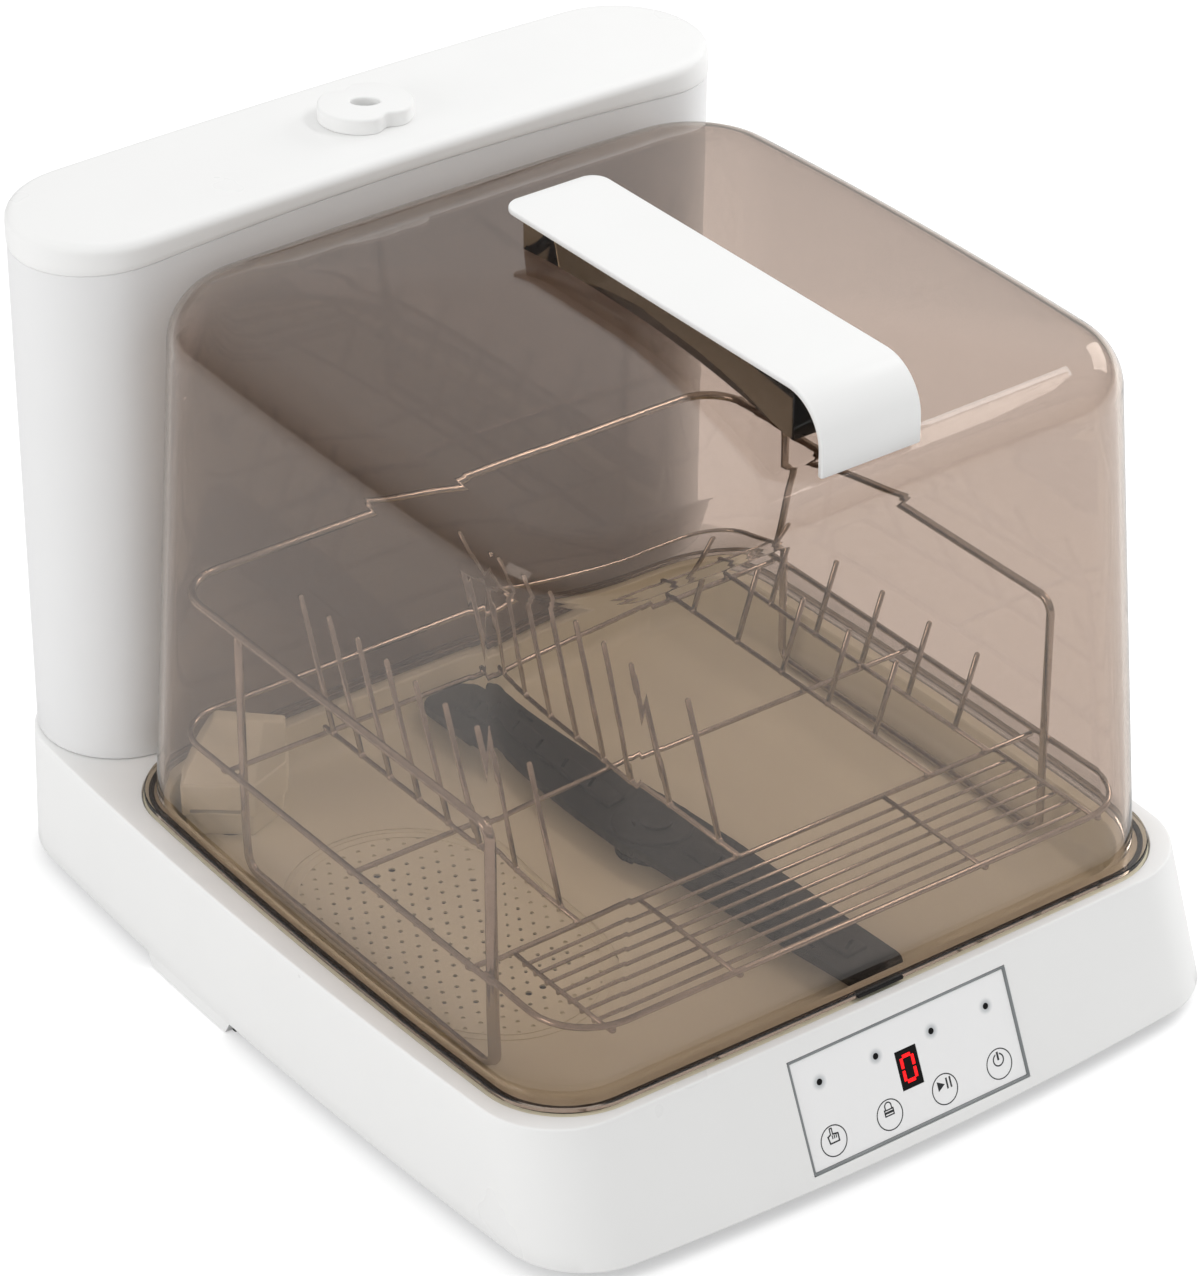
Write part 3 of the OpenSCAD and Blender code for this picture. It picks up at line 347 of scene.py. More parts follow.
def printedFilmWithShade(name, light, shadeRing, lamps, reach):
    # screen-printed polyester film, with a soft ring of painted shade round each lamp
    material, tree, output, coords = startMaterial(name)
    shade = None
    # each lamp gets a ring of painted shade: the darker grey out to 0.35 of the reach, fading to the film's white
    # at the reach
    for place in lamps:
        away = addNode(tree, "ShaderNodeVectorMath", {"operation": "DISTANCE"}, i0=(coords, "Object"), i1=place)
        ring = addNode(tree, "ShaderNodeMapRange", {"interpolation_type": "SMOOTHSTEP"}, Value=(away, "Value"),
                       From_Min=reach * 0.35, From_Max=reach)
        shade = addNode(tree, "ShaderNodeMath", {"operation": "MINIMUM"}, i0=(shade or ring, 0), i1=(ring, 0))
    tone = addTone(tree, (shade, 0), toLinear(shadeRing), toLinear(light))
    relief = addRelief(tree, addNoise(tree, coords, 1 / 3, 1.0), 0.02)
    shader = addNode(tree, "ShaderNodeBsdfPrincipled", Base_Color=(tone, 2), Roughness=0.24,
                     Normal=(relief, "Normal"))
    return endMaterial(material, tree, output, shader)


def smokeClear(name, tint, deepTint, density=105.0, shadowTint=0.36):
    # injection-moulded clear styrene-acrylonitrile with smoke dye: glassy, and browner where light goes far in it
    material, tree, output, coords = startMaterial(name)
    ripple = addNode(tree, "ShaderNodeTexNoise", Vector=(coords, "Object"), Scale=14.0, Detail=2.0)
    relief = addRelief(tree, ripple, 0.01)
    shader = addNode(tree, "ShaderNodeBsdfPrincipled", Base_Color=toLinear(tint), Roughness=0.006, IOR=1.5,
                     Transmission_Weight=1.0, Normal=(relief, "Normal"))
    dye = addNode(tree, "ShaderNodeVolumeAbsorption", Color=toLinear(deepTint), Density=density)
    tree.links.new(dye.outputs[0], output.inputs["Volume"])
    # light that casts the shadows goes straight through both faces of the wall
    clear = addNode(tree, "ShaderNodeBsdfTransparent", Color=[c ** shadowTint for c in toLinear(tint)])
    path = addNode(tree, "ShaderNodeLightPath")
    mix = addNode(tree, "ShaderNodeMixShader", Fac=(path, "Is Shadow Ray"), i1=(shader, 0), i2=(clear, 0))
    return endMaterial(material, tree, output, mix)


def glowing(name, tint, strength):
    # a lit bar under a red filter, a little uneven
    material, tree, output, coords = startMaterial(name)
    cloud = addNode(tree, "ShaderNodeTexNoise", Vector=(coords, "Object"), Scale=900.0, Detail=1.0)
    tone = addTone(tree, (cloud, "Fac"), [c * 0.8 for c in toLinear(tint)], toLinear(tint))
    shader = addNode(tree, "ShaderNodeBsdfPrincipled", Base_Color=(tone, 2), Roughness=0.3,
                     Emission_Color=(tone, 2), Emission_Strength=strength)
    return endMaterial(material, tree, output, shader)


whiteAbs = plastic("whiteMouldedAbs", "F4F4F3", "F0F0EF", 0.30, bump=0.015)
# the tank body's white is a little darker than the other white parts: painted shade on its walls
shadedTankAbs = plastic("tankAbsPaintedShade", "ECECEC", "E8E8E8", 0.34, bump=0.02)
tubPp = plastic("tubPolypropylene", "EAE5CF", "E2DCC4", 0.38, grainMm=0.8)
greyPp = plastic("greyPolypropylene", "7F8488", "74787C", 0.45)
darkPp = plastic("darkGlassFilledPp", "141516", "0F1011", 0.52, grainMm=0.35, bump=0.06)
blackRubber = plastic("blackSiliconeRubber", "131313", "0B0B0B", 0.6, grainMm=0.4, bump=0.05, level=0.3)
displayBlack = plastic("displayBlack", "0A0A0B", "070708", 0.3, grainMm=0.6, bump=0.0, level=0.2)
# silver paint: its own grey, mottled in clouds down to a much darker grey that is painted reflection
silverPaintAndReflection = plastic("silverFrameWithPaintedReflection", "A4A9AB", "5C6061", 0.32, grainMm=0.2, bump=0.04)
markInk = plastic("greyScreenInk", "2E3033", "26282A", 0.5, grainMm=0.2, level=0.3)
boardGreen = plastic("circuitBoard", "1E6A43", "17593A", 0.35, grainMm=1.2, bump=0.08)
wireSteel = steel("polishedStainlessWire", "C2B7AB", "A69B90", 0.13)
screwSteel = steel("zincScrewSteel", "B8B6B0", "A5A29C", 0.3)
smokeDye = smokeClear("smokeClearSan", "E0D5CF", "D0C8BB")
litRed = glowing("litRedBar", "F4040C", 1.1)
print("materials made")


# cover: bowed walls that lean in, a rounded and crowned top, and an outer lip

cover = {"wall": 3.0, "lipTop": 77.5, "lipFoot": 74.8, "filletStart": 324.0, "filletRadius": 26.0,
         "filletSweep": 76.0, "filletSteps": 14, "wallSteps": 8, "crownRise": 17.0, "crownY": -24.0,
         "gridSpan": 18, "lipEdge": 0.5, "finLow": (-21.5, -163.0, 345.0), "finHigh": (24.5, 39.0, 380.5),
         "finEdge": 0.8, "openFoot": 6.0}
coverFoot = {"halfWidth": 184.4, "front": -200.9, "rear": 149.4, "frontRadius": 39.0, "rearRadius": 39.0,
             "frontBow": 1.6, "rearBow": 3.0, "sideBow": 5.1}
coverTop = {"halfWidth": 172.5, "front": -194.4, "rear": 146.0, "frontRadius": 50.0, "rearRadius": 50.0,
            "frontBow": 2.5, "rearBow": 4.0, "sideBow": 5.1}
lipShape = {"halfWidth": 189.5, "front": -207.4, "rear": 154.2, "frontRadius": 41.0, "rearRadius": 41.0,
            "frontBow": 1.6, "rearBow": 3.0, "sideBow": 5.1}


def mixShapes(a, b, t):
    return {key: lerp(a[key], b[key], t) for key in a}


def coverSkin(inset):
    # rings from the edge of the crown down to the foot of the wall
    radius = cover["filletRadius"] - inset
    turns, steps = cover["filletSteps"], cover["wallSteps"]
    rings = []
    for step in range(turns + 1):
        a = math.radians(cover["filletSweep"] * (1 - step / turns))
        ring = outline(coverTop, inset + radius * (1 - math.cos(a)))
        rings.append(atHeight(ring, cover["filletStart"] + radius * math.sin(a)))
    for step in range(1, steps + 1):
        t = 1 - step / steps
        z = lerp(cover["lipTop"], cover["filletStart"], t)
        rings.append(atHeight(outline(mixShapes(coverFoot, coverTop, t), inset), z))
    return rings


def crownHeights(edge):
    # the top rises from its edge to its middle as a parabola along each ray from the middle
    middle = cover["crownY"]
    polar = sorted((math.atan2(y - middle, x), math.hypot(x, y - middle)) for x, y, _ in edge)
    polar = [(polar[-1][0] - 2 * math.pi, polar[-1][1])] + polar + [(polar[0][0] + 2 * math.pi, polar[0][1])]

    def height(x, y):
        angle = math.atan2(y - middle, x)
        for (a, ra), (b, rb) in zip(polar, polar[1:]):
            if a <= angle <= b:
                reach = lerp(ra, rb, (angle - a) / (b - a))
                k = min(1.0, math.hypot(x, y - middle) / reach)
                return edge[0][2] + cover["crownRise"] * (1 - k * k)
        return edge[0][2]
    return height


def coverSolid(name, inset, foot):
    rings = coverSkin(inset)
    edge = rings[0]
    if inset:
        rings.append(atHeight(outline(coverFoot, inset), foot))
    else:
        lip, rounded = outline(lipShape), outline(lipShape, cover["lipEdge"])
        rings += [atHeight(rounded, cover["lipTop"]), atHeight(lip, cover["lipTop"] - cover["lipEdge"]),
                  atHeight(lip, foot + 0.4), atHeight(rounded, foot)]
    piece = loft(name, rings, capStart=True, capEnd=True, gridSpan=cover["gridSpan"])
    places = treeOf(edge)
    height = crownHeights(edge)
    # the flat cap inside the edge rises to the crown
    for vertex in piece.data.vertices:
        x, y, z = vertex.co / mm
        if abs(z - edge[0][2]) < 0.01 and places.find(vertex.co)[2] > 0.01 * mm:
            vertex.co.z = height(x, y) * mm
    return piece


def makeCover():
    piece = coverSolid("coverShell", 0.0, cover["lipFoot"])
    # the fin that carries the handle is moulded in one with the crown
    cutWith(piece, addBox("fin", cover["finLow"], cover["finHigh"], bevel=cover["finEdge"]), "UNION")
    cutWith(piece, coverSolid("hollow", cover["wall"], cover["lipFoot"] - cover["openFoot"]))
    return piece


coverShell = makeCover()
finishPiece(coverShell, "cover", smokeDye, "smoke_clear", "dome", smoothAt=35)
print("cover made:", len(coverShell.data.vertices), "vertices")


# base: a low shell whose front leans back, with a recess for the cover

base = {"foot": 8.0, "deck": 74.0, "wall": 3.0, "edge": 1.2, "recess": 3.0, "rear": 244.6, "tankY": 202.0,
        "footEdge": ((0.8, 0.0), (0.2, 0.2), (0.0, 0.8)), "sideSteps": 8, "lipGap": 1.6, "lipEdge": 0.6,
        "tubGap": 3.5, "deckThick": 6.0, "panelWidth": 130.0, "panelHeight": 56.0, "panelX": 3.0, "panelZ": 39.5,
        "panelDepth": 2.2, "panelSink": 0.6, "skirtLow": (-3, 22, 0.6), "skirtHigh": (3, 104, 14.0),
        "skirtX": 206, "skirtSlopes": (8, -7), "dockX": 120.0, "dockRadius": 20.2}
port = {"spoutX": 52.0, "spoutZ": 35.0, "cupRadius": 21.5, "boreRadius": 19.0, "inletX": -70.0, "inletZ": 37.0,
        "inletHalf": (14.2, 10.2, 8.0), "plateHalf": (18.2, 14.2, 2.2), "slots": 8, "slotX": -170.0,
        "slotPitch": 9.0, "slotWidth": 3.5, "slotLow": 24.0, "slotHigh": 50.0, "slotRound": 1.7}
baseFoot = {"halfWidth": 200.0, "front": -234.0, "rear": 244.6, "frontRadius": 37.0, "rearRadius": 43.0,
            "frontBow": 10.6, "rearBow": 0.0, "sideBow": 9.2}
baseDeck = {"halfWidth": 198.0, "front": -214.0, "rear": 244.6, "frontRadius": 39.0, "rearRadius": 43.0,
            "frontBow": 1.6, "rearBow": 0.0, "sideBow": 9.2}
tubRim = {"halfWidth": 177.0, "front": -193.5, "rear": 142.0, "frontRadius": 33.0, "rearRadius": 33.0,
          "frontBow": 1.6, "rearBow": 3.0, "sideBow": 5.1}
# how far the front leans back between its foot and the deck, and the panel's place on it
frontFoot = baseFoot["front"] - baseFoot["frontBow"]
frontLean = baseDeck["front"] - baseDeck["frontBow"] - frontFoot
frontRise = base["deck"] - base["foot"]
panelY = frontFoot + frontLean * (base["panelZ"] - base["foot"]) / frontRise + base["panelSink"]
panelPlace = (Matrix.Translation(Vector((base["panelX"], panelY, base["panelZ"])) * mm)
              @ Matrix.Rotation(math.radians(90) - math.atan(frontLean / frontRise), 4, "X"))


def onPanel(piece):
    # from the panel's own plane, X right and Y up the face, to its place on the sloping front
    piece.matrix_world = panelPlace @ piece.matrix_world
    applyPlace(piece)
    return piece


def makeBase():
    foot, deck, edge, wall, rear = (base[key] for key in ("foot", "deck", "edge", "wall", "rear"))
    rings = [atHeight(outline(baseFoot, inset), foot + rise) for inset, rise in base["footEdge"]]
    for step in range(1, base["sideSteps"] + 1):
        t = step / base["sideSteps"]
        z = lerp(foot + base["footEdge"][-1][1], deck - edge, t)
        rings.append(atHeight(outline(mixShapes(baseFoot, baseDeck, t)), z))
    for a in quarter(5, 1):
        rings.append(atHeight(outline(baseDeck, edge * (1 - math.cos(a))), deck - edge * (1 - math.sin(a))))
    gap, lip, floor, under = base["lipGap"], base["lipEdge"], deck - base["recess"], deck - base["deckThick"]
    rings += [atHeight(outline(baseDeck, 3.0), deck), atHeight(outline(lipShape, -gap), deck)]
    for a in quarter(3, 1):
        rings.append(atHeight(outline(lipShape, -gap + lip * math.sin(a)), deck - lip * (1 - math.cos(a))))
    rings += [atHeight(outline(shape, inset), z) for shape, inset, z in (
        (lipShape, lip - gap, floor), (tubRim, -base["tubGap"], floor), (tubRim, -base["tubGap"], under),
        (baseDeck, wall, under), (baseFoot, wall, foot))]
    piece = loft("baseShell", rings, closed=True)
    # skirts that hide the side feet, narrower towards the floor and trimmed to the side's own curve
    for side in (-1, 1):
        skirt = addBox("skirt", base["skirtLow"], base["skirtHigh"])
        for vertex in skirt.data.vertices:
            if vertex.co.z < 2 * mm:
                vertex.co.y += base["skirtSlopes"][0 if vertex.co.y < 50 * mm else 1] * mm
            vertex.co.x += side * base["skirtX"] * mm
        cutWith(skirt, prism("trim", outline(baseFoot, 0.5), -5, 20), "INTERSECT")
        cutWith(piece, skirt, "UNION")
    # panel pocket, docking hole, rear ports and air slots
    w, h = base["panelWidth"] / 2 + 0.2, base["panelHeight"] / 2 + 0.2
    cutWith(piece, onPanel(addBox("pocket", (-w, -h, -base["panelDepth"]), (w, h, 12))))
    cutWith(piece, addCylinder("dock", (base["dockX"], base["tankY"], deck), base["dockRadius"], 12))
    x, z = port["spoutX"], port["spoutZ"]
    cutWith(piece, addCylinder("cup", (x, rear - 14, z), port["cupRadius"], 26, "Y", 72), "UNION")
    cutWith(piece, addCylinder("bore", (x, rear - 4.5, z), port["boreRadius"], 40, "Y", 72, bevel=0.5))
    x, z = port["inletX"], port["inletZ"]
    for (halfWidth, halfHeight, depth), out in ((port["inletHalf"], 12), (port["plateHalf"], 8)):
        cutWith(piece, addBox("inlet", (x - halfWidth, rear - depth, z - halfHeight),
                              (x + halfWidth, rear + out, z + halfHeight)))
    for index in range(port["slots"]):
        x = port["slotX"] + index * port["slotPitch"]
        cutWith(piece, addBox("slot", (x, rear - 8, port["slotLow"]),
                              (x + port["slotWidth"], rear + 12, port["slotHigh"]), bevel=port["slotRound"]))
    return piece


baseShell = makeBase()
finishPiece(baseShell, "base", whiteAbs, "white_plastic", "base_shell", smoothAt=35)
print("base made:", len(baseShell.data.vertices), "vertices")


# water tank: a tall tapered stadium with an arched joint and a crowned lid

tank = {"halfLength": 197.5, "lowRadius": 42.5, "topRadius": 45.6, "wall": 2.5, "foot": 74.3, "y": 202.0,
        "topY": 198.6, "spread": 0.6, "seam": 344.5, "seamRise": 9.0, "levels": 10, "floor": 3.0, "outlet": 15.0,
        "footEdge": ((1.2, 0.0), (0.35, 0.35), (0.0, 1.2)), "bore": 12.0, "throat": 8.0, "lidTop": 361.0,
        "lidCrown": 2.5, "lidRound": 5.0, "lidY": 198.5, "lidGrow": (1.0, 0.4), "mouthX": -1.0, "mouth": 17.0}


def seamHeight(x):
    return tank["seam"] + tank["seamRise"] * (1 - (x / tank["halfLength"]) ** 2)


def tankRing(level, inset, footRound=0.0):
    # level 0 is the foot and 1 the arched joint
    radius = lerp(tank["lowRadius"], tank["topRadius"], level) - inset
    half = tank["halfLength"] + tank["spread"] * level - inset
    ring = pill(half - footRound, radius - footRound, lerp(tank["y"], tank["topY"], level))
    return [(x, y, lerp(tank["foot"], seamHeight(x), level)) for x, y in ring]


def flatRing(inset, footRound, z):
    return [(x, y, z) for x, y, _ in tankRing(0, inset, footRound)]


def makeTankBody():
    levels, wall, foot = tank["levels"], tank["wall"], tank["foot"]
    rings = [flatRing(0, footRound, foot + rise) for footRound, rise in tank["footEdge"]]
    rings += [tankRing(step / levels, 0) for step in range(1, levels)]
    rings += [[(x, y, z - 0.5) for x, y, z in tankRing(1, 0)], tankRing(1, 0.5), tankRing(1, wall)]
    rings += [tankRing(step / levels, wall) for step in range(levels - 1, 0, -1)]
    rings.append(flatRing(wall, 0.0, foot + tank["floor"]))
    piece = loft("tankBody", rings, capStart=True, capEnd=True)
    # outlet that docks in the base
    x, y = base["dockX"], tank["y"]
    cutWith(piece, addCylinder("outlet", (x, y, 73), tank["outlet"], 14, vertices=72), "UNION")
    cutWith(piece, addCylinder("bore", (x, y, 70), tank["bore"], 20, vertices=72))
    cutWith(piece, addCylinder("throat", (x, y, 78), tank["throat"], 30, vertices=48))
    return piece


def makeTankLid():
    def lidRing(inset, height):
        grow, widen = tank["lidGrow"]
        ring = pill(tank["halfLength"] + grow - inset, tank["topRadius"] + widen - inset, tank["lidY"])
        return [(x, y, height(x)) for x, y in ring]

    def ring(inset, drop):
        top, crown, half = tank["lidTop"], tank["lidCrown"], tank["halfLength"]
        return lidRing(inset, lambda x: top + crown * (1 - (x / half) ** 2) - drop)

    def skirt(inset, rise):
        return lidRing(inset, lambda x: seamHeight(x) + rise)
    r = tank["lidRound"]
    middle = tank["topRadius"] + 0.35
    rings = [ring(middle, 4), ring(20, 4), ring(5.2, 4), skirt(5.2, -8), skirt(3.6, -8), skirt(3.6, 0.4),
             skirt(0.5, 0.4), skirt(0.15, 0.5), skirt(0, 0.9)]
    low, high = skirt(0, 0.9), ring(0, r)
    for step in range(1, 4):
        rings.append([(a[0], a[1], lerp(a[2], b[2], step / 3)) for a, b in zip(low, high)])
    rings += [ring(r * (1 - math.cos(a)), r * (1 - math.sin(a))) for a in quarter(10, 1)]
    rings += [ring(inset, 0) for inset in (7, 11, 17, 25, 35, middle)]
    piece = loft("tankLid", rings, merge=0.3)
    place = (tank["mouthX"], tank["lidY"], tank["lidTop"])
    cutWith(piece, addCylinder("mouth", place, tank["mouth"], 30, vertices=72))
    return piece


finishPiece(makeTankBody(), "tank", shadedTankAbs, "white_plastic", "tank_body", smoothAt=35)
finishPiece(makeTankLid(), "tank", whiteAbs, "white_plastic", "tank_lid", smoothAt=35)
print("tank made")


# fill cap: a round knob with a waist on each side to turn it by, and an oval hole in the middle

cap = {"x": -1.0, "y": 198.5, "foot": 363.55, "top": 371.6, "radius": 22.7, "oval": 1.1, "ovalTurn": -20,
       "waist": 4.8, "waistAngles": (-86, 94), "waistSpread": 16, "hole": (7.4, 4.6), "holeTurn": -36.6,
       "holeEdge": 1.0, "holeFoot": 365.2, "round": 1.5, "plug": 16.95, "plugFoot": 356.0, "cavity": 14.0,
       "cavityTop": 358.0}


def capOutline(inset, steps=96):
    points = []
    for step in range(steps):
        a = 360 * step / steps
        r = cap["radius"] + cap["oval"] * math.cos(2 * math.radians(a - cap["ovalTurn"])) - inset
        for waist in cap["waistAngles"]:
            off = (a - waist + 180) % 360 - 180
            r -= cap["waist"] * math.exp(-(off / cap["waistSpread"]) ** 2)
        points.append((cap["x"] + r * math.cos(math.radians(a)), cap["y"] + r * math.sin(math.radians(a))))
    return points


def oval(grow, steps=96):
    turn = math.radians(cap["holeTurn"])
    points = []
    for step in range(steps):
        a = 2 * math.pi * step / steps - turn
        u, v = (cap["hole"][0] + grow) * math.cos(a), (cap["hole"][1] + grow) * math.sin(a)
        points.append((cap["x"] + u * math.cos(turn) - v * math.sin(turn),
                       cap["y"] + u * math.sin(turn) + v * math.cos(turn)))
    return points


def circle(radius, steps=96):
    return [(cap["x"] + radius * math.cos(2 * math.pi * i / steps),
             cap["y"] + radius * math.sin(2 * math.pi * i / steps)) for i in range(steps)]


def makeCap():
    r, foot, top, edge = cap["round"], cap["foot"], cap["top"], cap["holeEdge"]
    rings = [atHeight(circle(cap["cavity"]), cap["cavityTop"]), atHeight(circle(cap["cavity"]), cap["plugFoot"]),
             atHeight(circle(cap["plug"]), cap["plugFoot"]), atHeight(circle(cap["plug"]), foot),
             atHeight(capOutline(0.3), foot), atHeight(capOutline(0), foot + 0.3),
             atHeight(capOutline(0), top - r)]
    rings += [atHeight(capOutline(r * (1 - math.cos(a))), top - r * (1 - math.sin(a))) for a in quarter(6, 1)]
    rings.append(atHeight(oval(4), top))
    rings += [atHeight(oval(edge - math.sin(a)), top - edge + math.cos(a)) for a in quarter(5)]
    rings += [atHeight(oval(-0.4), cap["holeFoot"]), atHeight(oval(-0.6), cap["cavityTop"])]
    return loft("fillCap", rings, closed=True)


finishPiece(makeCap(), "fill_cap", whiteAbs, "white_plastic", "fill_cap", smoothAt=35)
print("cap made")


# handle: one strip, flat along the top and curled down at the front

strip = {"x": 2.0, "width": 56.0, "thick": 3.0, "top": 383.5, "rear": 50.0, "front": -189.0, "bend": 25.0,
         "foot": 346.0, "corner": 9.0, "edge": 0.9}


def stripSection(halfWidth, thick, edge):
    # rounded rectangle across the strip: x, and depth below its outer face
    points = []
    for cx, cn, start in ((halfWidth - edge, edge, -90), (halfWidth - edge, thick - edge, 0),
                          (edge - halfWidth, thick - edge, 90), (edge - halfWidth, edge, 180)):
        for step in range(6):
            a = math.radians(start + 90 * step / 5)
            points.append((cx + edge * math.cos(a), cn + edge * math.sin(a)))
    return points


def makeHandle():
    half, thick, edge, corner, bend = (strip["width"] / 2, strip["thick"], strip["edge"], strip["corner"],
                                       strip["bend"])
    path = []  # place on the outer face, its normal, half the width there and how much thinner it is
    for a in quarter(8):
        width = half - corner + corner * math.sin(a)
        place = (strip["rear"] - corner + corner * math.cos(a), strip["top"])
        path.append((place, (0, 1), width, 0.0 if path else 0.5))
    bendY, bendZ = strip["front"] + bend, strip["top"] - bend
    for step in range(1, 7):
        path.append(((lerp(strip["rear"] - corner, bendY, step / 6), strip["top"]), (0, 1), half, 0.0))
    for a in quarter(16, 1):
        out = (-math.sin(a), math.cos(a))
        path.append(((bendY + bend * out[0], bendZ + bend * out[1]), out, half, 0.0))
    path.append(((strip["front"], strip["foot"] + 0.6), (-1, 0), half, 0.0))
    path.append(((strip["front"], strip["foot"]), (-1, 0), half - 0.5, 0.5))
    rings = []
    for (y, z), (ny, nz), width, squeeze in path:
        section = stripSection(width, thick - 2 * squeeze, min(edge, thick / 2 - squeeze))
        rings.append([(strip["x"] + x, y - ny * (depth + squeeze), z - nz * (depth + squeeze))
                      for x, depth in section])
    return loft("handleStrip", rings, capStart=True, capEnd=True)


finishPiece(makeHandle(), "cover", whiteAbs, "white_plastic", "handle", smoothAt=40)
print("handle made")


# control panel: a trim frame round a printed film, with a lit digit, lamps and touch marks

panel = {"trim": 1.4, "trimRise": 0.12, "trimRound": 0.15, "film": -0.7, "filmCorner": 0.4, "back": -2.1,
         "corner": 1.2, "window": (12.5, 19.1), "windowY": 1.1, "windowBack": -1.6, "gap": 0.1, "pitch": 33.2,
         "lampY": 13.0, "lampRadius": 1.55, "lampEdge": 0.25, "shadeRingReach": 4.6, "markY": -16.0,
         "markRadius": 7.6, "markLine": 0.55, "iconLift": 2.3, "iconScale": 1.22, "ink": 0.05}
digit = {"long": 5.2, "wide": 1.9, "x": 3.25, "y": 3.05, "back": -1.3, "corner": 0.45}
panelFrom = [(i - 1.5) * panel["pitch"] for i in range(4)]
# the strokes of each icon: x and y from its middle, width, height, and turn in degrees
iconStrokes = (
    # tapping hand: a raised finger over a rounded palm
    ((-0.95, 1.9, 0.5, 2.8, 0), (0.05, 1.9, 0.5, 2.8, 0), (-0.45, 3.2, 1.2, 0.5, 0), (1.4, 0.6, 2.6, 0.6, -10),
     (2.5, -1.1, 0.6, 3.2, 0), (-2.1, -0.9, 0.6, 2.9, 10), (-1.6, 0.5, 1.4, 0.6, 25), (0.3, -2.6, 4.8, 0.6, 0),
     (-0.3, -0.4, 0.45, 1.5, 0), (0.6, -0.4, 0.45, 1.5, 0), (1.5, -0.4, 0.45, 1.5, 0)),
    # padlock
    ((0, -0.9, 4.6, 0.9, 0), (0, 0.2, 4.6, 0.5, 0), (0, -2.1, 4.6, 0.5, 0), (-2.05, -0.9, 0.5, 2.9, 0),
     (2.05, -0.9, 0.5, 2.9, 0), (-1.5, 1.0, 0.5, 1.4, 0), (1.5, 1.0, 0.5, 1.4, 0)),
    # pause, beside the start mark
    ((1.5, 0, 0.75, 4.4, 0), (3.2, 0, 0.75, 4.4, 0)),
    # power
    ((0, 1.3, 0.9, 3.4, 0),),
)


def roundedRectangle(width, height, corner, steps=6):
    points = []
    for cx, cy, start in ((1, 1, 0), (-1, 1, 90), (-1, -1, 180), (1, -1, 270)):
        for step in range(steps + 1):
            a = math.radians(start + 90 * step / steps)
            points.append((cx * (width / 2 - corner) + corner * math.cos(a),
                           cy * (height / 2 - corner) + corner * math.sin(a)))
    return points


def makeTrim():
    width, height, trim, edge = base["panelWidth"], base["panelHeight"], panel["trim"], panel["trimRound"]
    top, back = panel["trimRise"], panel["back"]

    def ring(inset, z):
        corner = max(0.3, panel["corner"] - inset)
        return atHeight(roundedRectangle(width - 2 * inset, height - 2 * inset, corner), z)
    piece = loft("panelTrim", [ring(0, back), ring(0, top - edge), ring(edge, top), ring(trim * 0.55, top),
                               ring(trim - 0.1, panel["film"]), ring(trim, back)], closed=True)
    return onPanel(piece)


def windowBox(name, grow, back, front, bevel=0.0):
    x, y, middle = panel["window"][0] / 2 + grow, panel["window"][1] / 2 + grow, panel["windowY"]
    return addBox(name, (-x, middle - y, back), (x, middle + y, front), bevel=bevel)


def makeFilm():
    width, height = (base[key] - 2 * panel["trim"] - panel["gap"] for key in ("panelWidth", "panelHeight"))
    piece = loft("panelFilm", [
        atHeight(roundedRectangle(width - inset, height - inset, panel["filmCorner"]), z)
        for inset, z in ((0, panel["back"]), (0, panel["film"] - 0.05), (0.1, panel["film"]))],
        capStart=True, capEnd=True)
    cutWith(piece, windowBox("window", panel["gap"], -5, 3))
    for x in panelFrom:
        cutWith(piece, addCylinder("lampHole", (x, panel["lampY"], 0), panel["lampRadius"] + panel["gap"] / 2, 12,
                                   vertices=32))
    return onPanel(piece)


def makeWindow():
    piece = windowBox("digitWindow", 0.0, panel["windowBack"], panel["film"] + 0.05, 0.25)
    for box in digitBars(0.12):
        cutWith(piece, box)
    return onPanel(piece)


def digitBars(grow=0.0):
    # six bars make the digit nought; grown, they cut the openings they show through
    bars = []
    x, y = digit["x"], digit["y"]
    places = [(sx * x, sy * y, digit["wide"] / 2, digit["long"] / 2) for sx in (-1, 1) for sy in (-1, 1)]
    places += [(0, sy * 2 * y, x - 0.75, digit["wide"] / 2) for sy in (-1, 1)]
    for cx, cy, across, along in places:
        across, along, cy = across + grow, along + grow, panel["windowY"] + cy
        bars.append(addBox("litBar", (cx - across, cy - along, digit["back"]),
                           (cx + across, cy + along, panel["film"] - 0.02 + 4 * grow),
                           bevel=0.0 if grow else digit["corner"], segments=2))
    return bars


